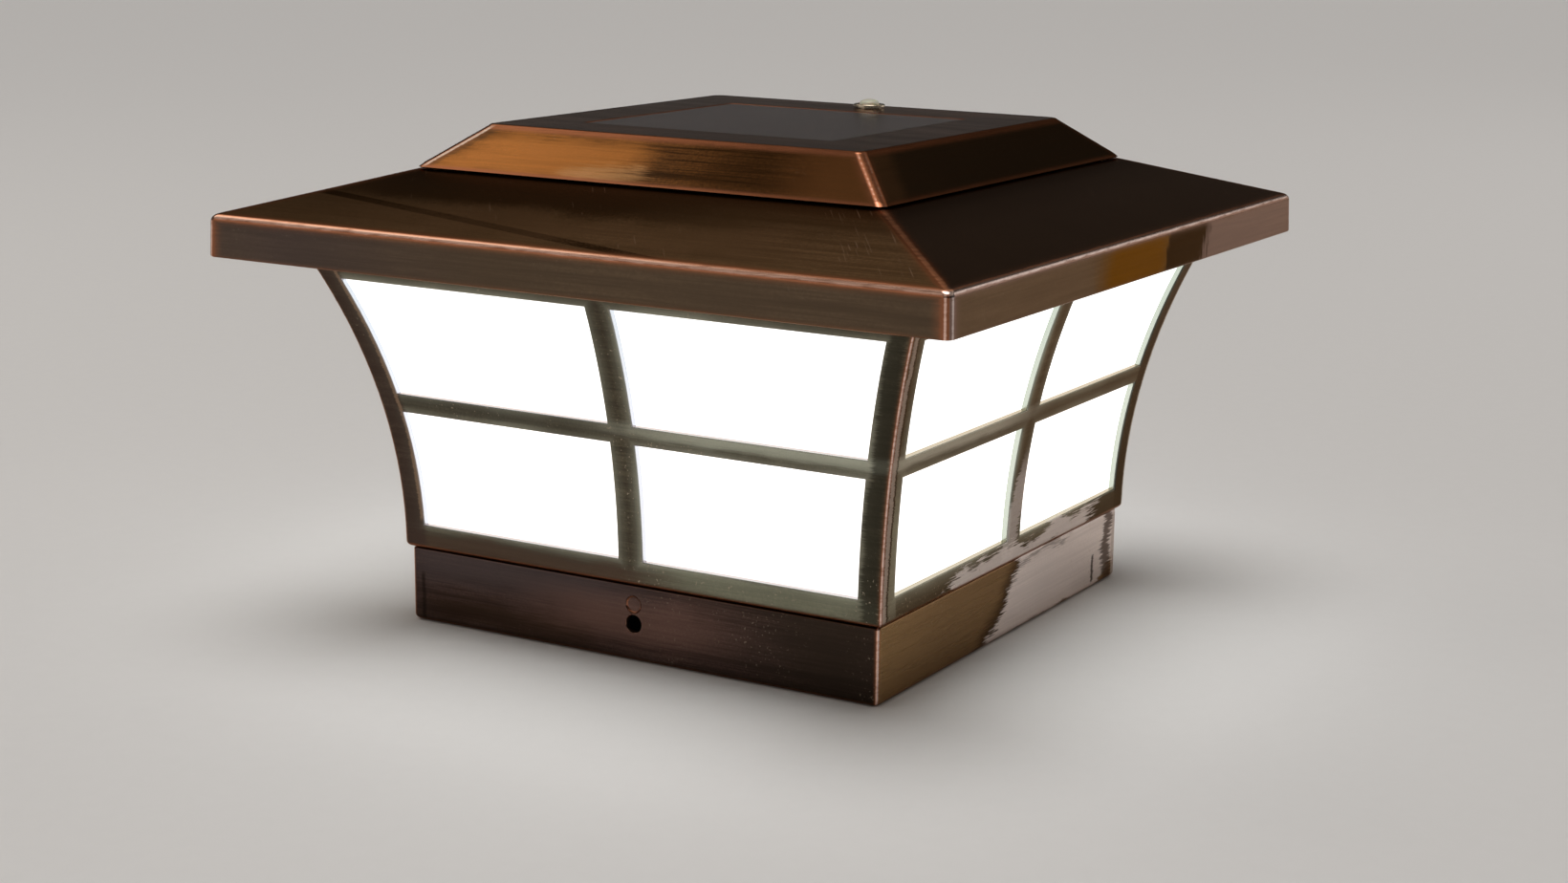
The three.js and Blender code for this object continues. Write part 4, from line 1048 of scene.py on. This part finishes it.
def slab(skin, low, high, chamfer):
    """A block with its level edges chamfered."""
    levels = ((chamfer, low[2]), (0, low[2] + chamfer), (0, high[2] - chamfer), (chamfer, high[2]))
    rings = []
    for inset, height in levels:
        x0, y0, x1, y1 = low[0] + inset, low[1] + inset, high[0] - inset, high[1] - inset
        rings.append(skin.ring([(x0, y0, height), (x1, y0, height), (x1, y1, height), (x0, y1, height)]))
    skin.stack(rings, capped=True)


def strap(skin, route, width, thickness):
    """A flat leg, bent along a route of (x middle, y, height) places."""
    half, loops = width / 2, []
    for x, y, height in route:
        upper = height + thickness
        loops.append(skin.ring([(x - half, y, height), (x + half, y, height), (x + half, y, upper),
                                (x - half, y, upper)]))
    skin.stack(loops, capped=True)


def board_parts():
    """The driver chip with its eight legs, and the choke's drum with its winding."""
    low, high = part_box("driver_chip")
    leg, leg_width, leg_thickness, lifted = 1.1 * MM, 0.45 * MM, 0.16 * MM, 0.15 * MM
    skin = Skin()
    slab(skin, (low.x, low.y + leg, low.z + lifted), (high.x, high.y - leg, high.z), 0.25 * MM)
    skin.piece("chip_body", "black", "head", ["driver_chip"])
    skin = Skin()
    middle = (low.z + high.z) / 2
    bends = ((0, low.z), (0.55 * leg, low.z), (0.75 * leg, middle), (leg + 0.3 * MM, middle))
    for i in range(4):
        x = low.x + (i + 0.5) * (high.x - low.x) / 4
        for edge, way in ((low.y, 1), (high.y, -1)):
            route = [(x, edge + way * reach, height) for reach, height in bends]
            strap(skin, route, leg_width, leg_thickness)
    skin.piece("chip_legs", "zinc", "head", [])
    centre, radius, bottom, top = middle_of("choke_coil")
    rim, core, edge = 0.8 * MM, radius - 0.6 * MM, 0.2 * MM
    groove, inside = core - 0.4 * MM, core - 0.35 * MM
    drum = [(0, bottom), *arc((radius - edge, bottom + edge), edge, -90, 0, 3), (radius, bottom + rim),
            (groove, bottom + rim), (groove, top - rim), (radius, top - rim),
            *arc((radius - edge, top - edge), edge, 0, 90, 3), (0, top)]
    turned("choke_drum", drum, centre, "black", "head", "choke_coil", "black_plastic")
    wire = 0.2 * MM
    winding = [(inside, bottom + rim)]
    for i in range(round((top - bottom - 2 * rim) / (2 * wire))):
        winding += arc((core - wire, bottom + rim + (2 * i + 1) * wire), wire, -80, 80, 4)
    winding += [(inside, top - rim), winding[0]]
    turned("choke_winding", winding, centre, "winding", "head", None, None, 32)


def battery_cell():
    """The battery in its sleeve, with the crimp near its plus end."""
    low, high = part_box("battery")
    centre = ((low.y + high.y) / 2, (low.z + high.z) / 2)
    radius = (high.z - low.z) / 2
    edge, tip, tip_radius = 0.8 * MM, 1 * MM, 3 * MM
    cap, cap_depth = radius - 2 * MM, 0.15 * MM
    end = high.x - tip
    crimp = [(radius, end - 3.4 * MM), (radius - 0.45 * MM, end - 2.9 * MM), (radius, end - 2.4 * MM)]
    outline = [(0, low.x), (cap, low.x), (cap, low.x + cap_depth),
               *arc((radius - edge, low.x + edge), edge, -90, 0, 5), *crimp,
               *arc((radius - edge, end - edge), edge, 0, 90, 5), (tip_radius, end),
               (tip_radius, high.x - 0.2 * MM), (tip_radius - 0.2 * MM, high.x), (0, high.x)]
    turned("battery_sleeved", outline, centre, "sleeve", "head", "battery", "battery_sleeve", lying=True)


def switch_housing():
    """The push switch's body, open at the top for the button's stem."""
    centre, radius, low, high = middle_of("switch_body")
    bore, floor, edge = 1.9 * MM, high - 3.5 * MM, 0.35 * MM
    side = [(radius - edge, low), (radius, low + edge), (radius, high - edge), (radius - edge, high)]
    turned("switch_housing", [(0, low), *side, (bore, high), (bore, floor), (0, floor)],
           centre, "black", "head", "switch_body", "black_plastic")


# ---- CAD nodes that keep their mesh ----

SHARP_ANGLE = math.radians(62)
BEVEL_ANGLE = math.radians(50)
FLAT_ANGLE = math.radians(1)

# The nodes by finish, and the width of their bevels in millimetres.
KEPT = {
    "white": (["floor_plate", "light_tray", "battery_holder", "battery_door"], 0.35),
    "panel_black": (["panel_board"], 0.05),
    "silicon": ([f"solar_cell_{i}" for i in range(1, 9)], 0.03),
    "glass": (["panel_glass"], 0.12),
    "gasket": (["panel_gasket"], 0.05),
    "zinc": (["door_hinge_pin", "switch_nut"], 0.12),
    "nickel": (["battery_contact_plus", "battery_contact_minus", "battery_spring"], 0.05),
    "board": (["main_board"], 0.1),
    "red": (["panel_wire_red", "battery_wire_red", "switch_wire_red"], 0.0),
    "wire_black": (["panel_wire_black", "battery_wire_black", "switch_wire_black"], 0.0),
}


def smooth_shading():
    """A modifier's nodes that shade a mesh smooth, except across its sharp edges."""
    group = bpy.data.node_groups.new("smooth_shading", "GeometryNodeTree")
    for way in ("INPUT", "OUTPUT"):
        group.interface.new_socket("Geometry", in_out=way, socket_type="NodeSocketGeometry")
    add, link = group.nodes.new, group.links.new
    start, end = add("NodeGroupInput"), add("NodeGroupOutput")
    angle, gentle = add("GeometryNodeInputMeshEdgeAngle"), add("FunctionNodeCompare")
    gentle.operation = "LESS_THAN"
    gentle.inputs[1].default_value = SHARP_ANGLE
    faces, edges = add("GeometryNodeSetShadeSmooth"), add("GeometryNodeSetShadeSmooth")
    edges.domain = "EDGE"
    link(start.outputs[0], faces.inputs["Geometry"])
    link(faces.outputs["Geometry"], edges.inputs["Geometry"])
    link(angle.outputs["Unsigned Angle"], gentle.inputs[0])
    link(gentle.outputs["Result"], edges.inputs["Shade Smooth"])
    link(edges.outputs["Geometry"], end.inputs[0])
    return group


def dress_cad_nodes():
    """Gives each kept CAD node its finish, smooth shading and a small rounding of its edges."""
    shading = smooth_shading()
    for finish, (names, rounding) in KEPT.items():
        for name in names:
            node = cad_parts[name]
            node.data.materials.clear()
            node.data.materials.append(finishes[finish])
            node.modifiers.new("joined_facets", "WELD").merge_threshold = 0.001 * MM
            flats = node.modifiers.new("whole_flats", "DECIMATE")
            flats.decimate_type = "DISSOLVE"
            flats.angle_limit = FLAT_ANGLE
            if rounding:
                bevel = node.modifiers.new("edges", "BEVEL")
                bevel.width = rounding * MM
                bevel.segments = 2
                bevel.limit_method = "ANGLE"
                bevel.angle_limit = BEVEL_ANGLE
            smooth = node.modifiers.new("smooth_shading", "NODES")
            smooth.node_group = shading
            weighted = node.modifiers.new("even_shading", "WEIGHTED_NORMAL")
            weighted.keep_sharp = True


# ---- Studio ----

# The surround's colour against the sine of its height above the horizon, and how many times
# stronger the overhead light is.
SURROUND = (
    (0.0, (0.46, 0.46, 0.46)),
    (0.03, (0.38, 0.38, 0.38)),
    (0.09, (0.052, 0.050, 0.048)),
    (0.515, (0.044, 0.042, 0.042)),
    (0.58, (0.42, 0.38, 0.34)),
    (0.66, (0.42, 0.38, 0.34)),
    (0.80, (0.22, 0.19, 0.16)),
    (0.90, (0.12, 0.105, 0.09)),
    (1.0, (1.0, 1.0, 1.0)),
)
OVERHEAD = 4.6
LIGHT_TARGET = Vector((0, 0, 100 * MM))


def studio_floor():
    """A plain pale floor."""
    bm = bmesh.new()
    bmesh.ops.create_circle(bm, cap_ends=True, segments=96, radius=40)
    mesh = bpy.data.meshes.new("studio_floor")
    bm.to_mesh(mesh)
    bm.free()
    finish = Finish("studio_floor")
    paper = finish.noise(finish.place, 180, 3)
    finish.set(base_color=finish.mix(paper, (0.76, 0.75, 0.74), (0.78, 0.77, 0.76)), roughness=0.85)
    mesh.materials.append(finish.material)
    floor = in_scene("studio_floor", mesh)
    floor.location.z = -0.2 * MM


def soft_light(name, place, size, power, colour):
    """A rectangular soft box that faces the object."""
    data = bpy.data.lights.new(name, "AREA")
    data.shape = "RECTANGLE"
    data.size, data.size_y = size
    data.energy = power
    data.color = colour
    light = in_scene(name, data)
    light.location = place
    light.rotation_euler = (LIGHT_TARGET - Vector(place)).to_track_quat("-Z", "Y").to_euler()
    light.visible_camera = False


def world_light():
    """A soft surround: pale at the horizon, dim above it, and a bright round light overhead."""
    world = bpy.data.worlds.new("studio")
    bpy.context.scene.world = world
    world.use_nodes = True
    sky = NodeTree(world.node_tree)
    background = sky.tree.nodes["Background"]
    outward = sky.node("TexCoord", {}).outputs["Generated"]
    up = sky.node("SeparateXYZ", {"Vector": outward}).outputs["Z"]
    sky.feed(background.inputs["Color"], sky.ramp(up, SURROUND))
    sky.feed(background.inputs["Strength"], sky.step(up, 0.915, 0.955, 1.0, OVERHEAD))


def camera():
    """The camera at the photograph's viewing angle."""
    data = bpy.data.cameras.new("camera")
    data.lens = 58.6
    data.sensor_width = 36
    data.shift_x, data.shift_y = -0.04686, -0.00518
    data.clip_start, data.clip_end = 0.01, 200
    made = in_scene("camera", data)
    made.location = (0.3716, -0.6215, 0.2091)
    made.rotation_euler = Euler([math.radians(a) for a in (77.551, -0.938, 29.271)])
    bpy.context.scene.camera = made


collar_pressing()
window_casting()
roof_pressing()
crown_pressing()
lens_mouldings()
button_parts()
for number in range(1, 5):
    screw(f"base_screw_{number}", "lantern", True)
    screw(f"crown_screw_{number}", "head", False)
    screw(f"tray_screw_{number}", "head", False)
    led(f"led_{number}")
board_parts()
battery_cell()
switch_housing()
dress_cad_nodes()
studio_floor()
world_light()
soft_light("key", (-1.06, -0.05, 1.15), (0.7, 0.7), 1.3, (1.0, 0.94, 0.86))
soft_light("front_left", (-0.95, -1.55, 0.62), (1.5, 0.85), 2.9, (1.0, 0.95, 0.90))
soft_light("back_right", (0.95, 1.60, 0.56), (0.9, 0.8), 2.1, (1.0, 0.97, 0.95))
camera()
bpy.context.scene.view_settings.view_transform = "Standard"
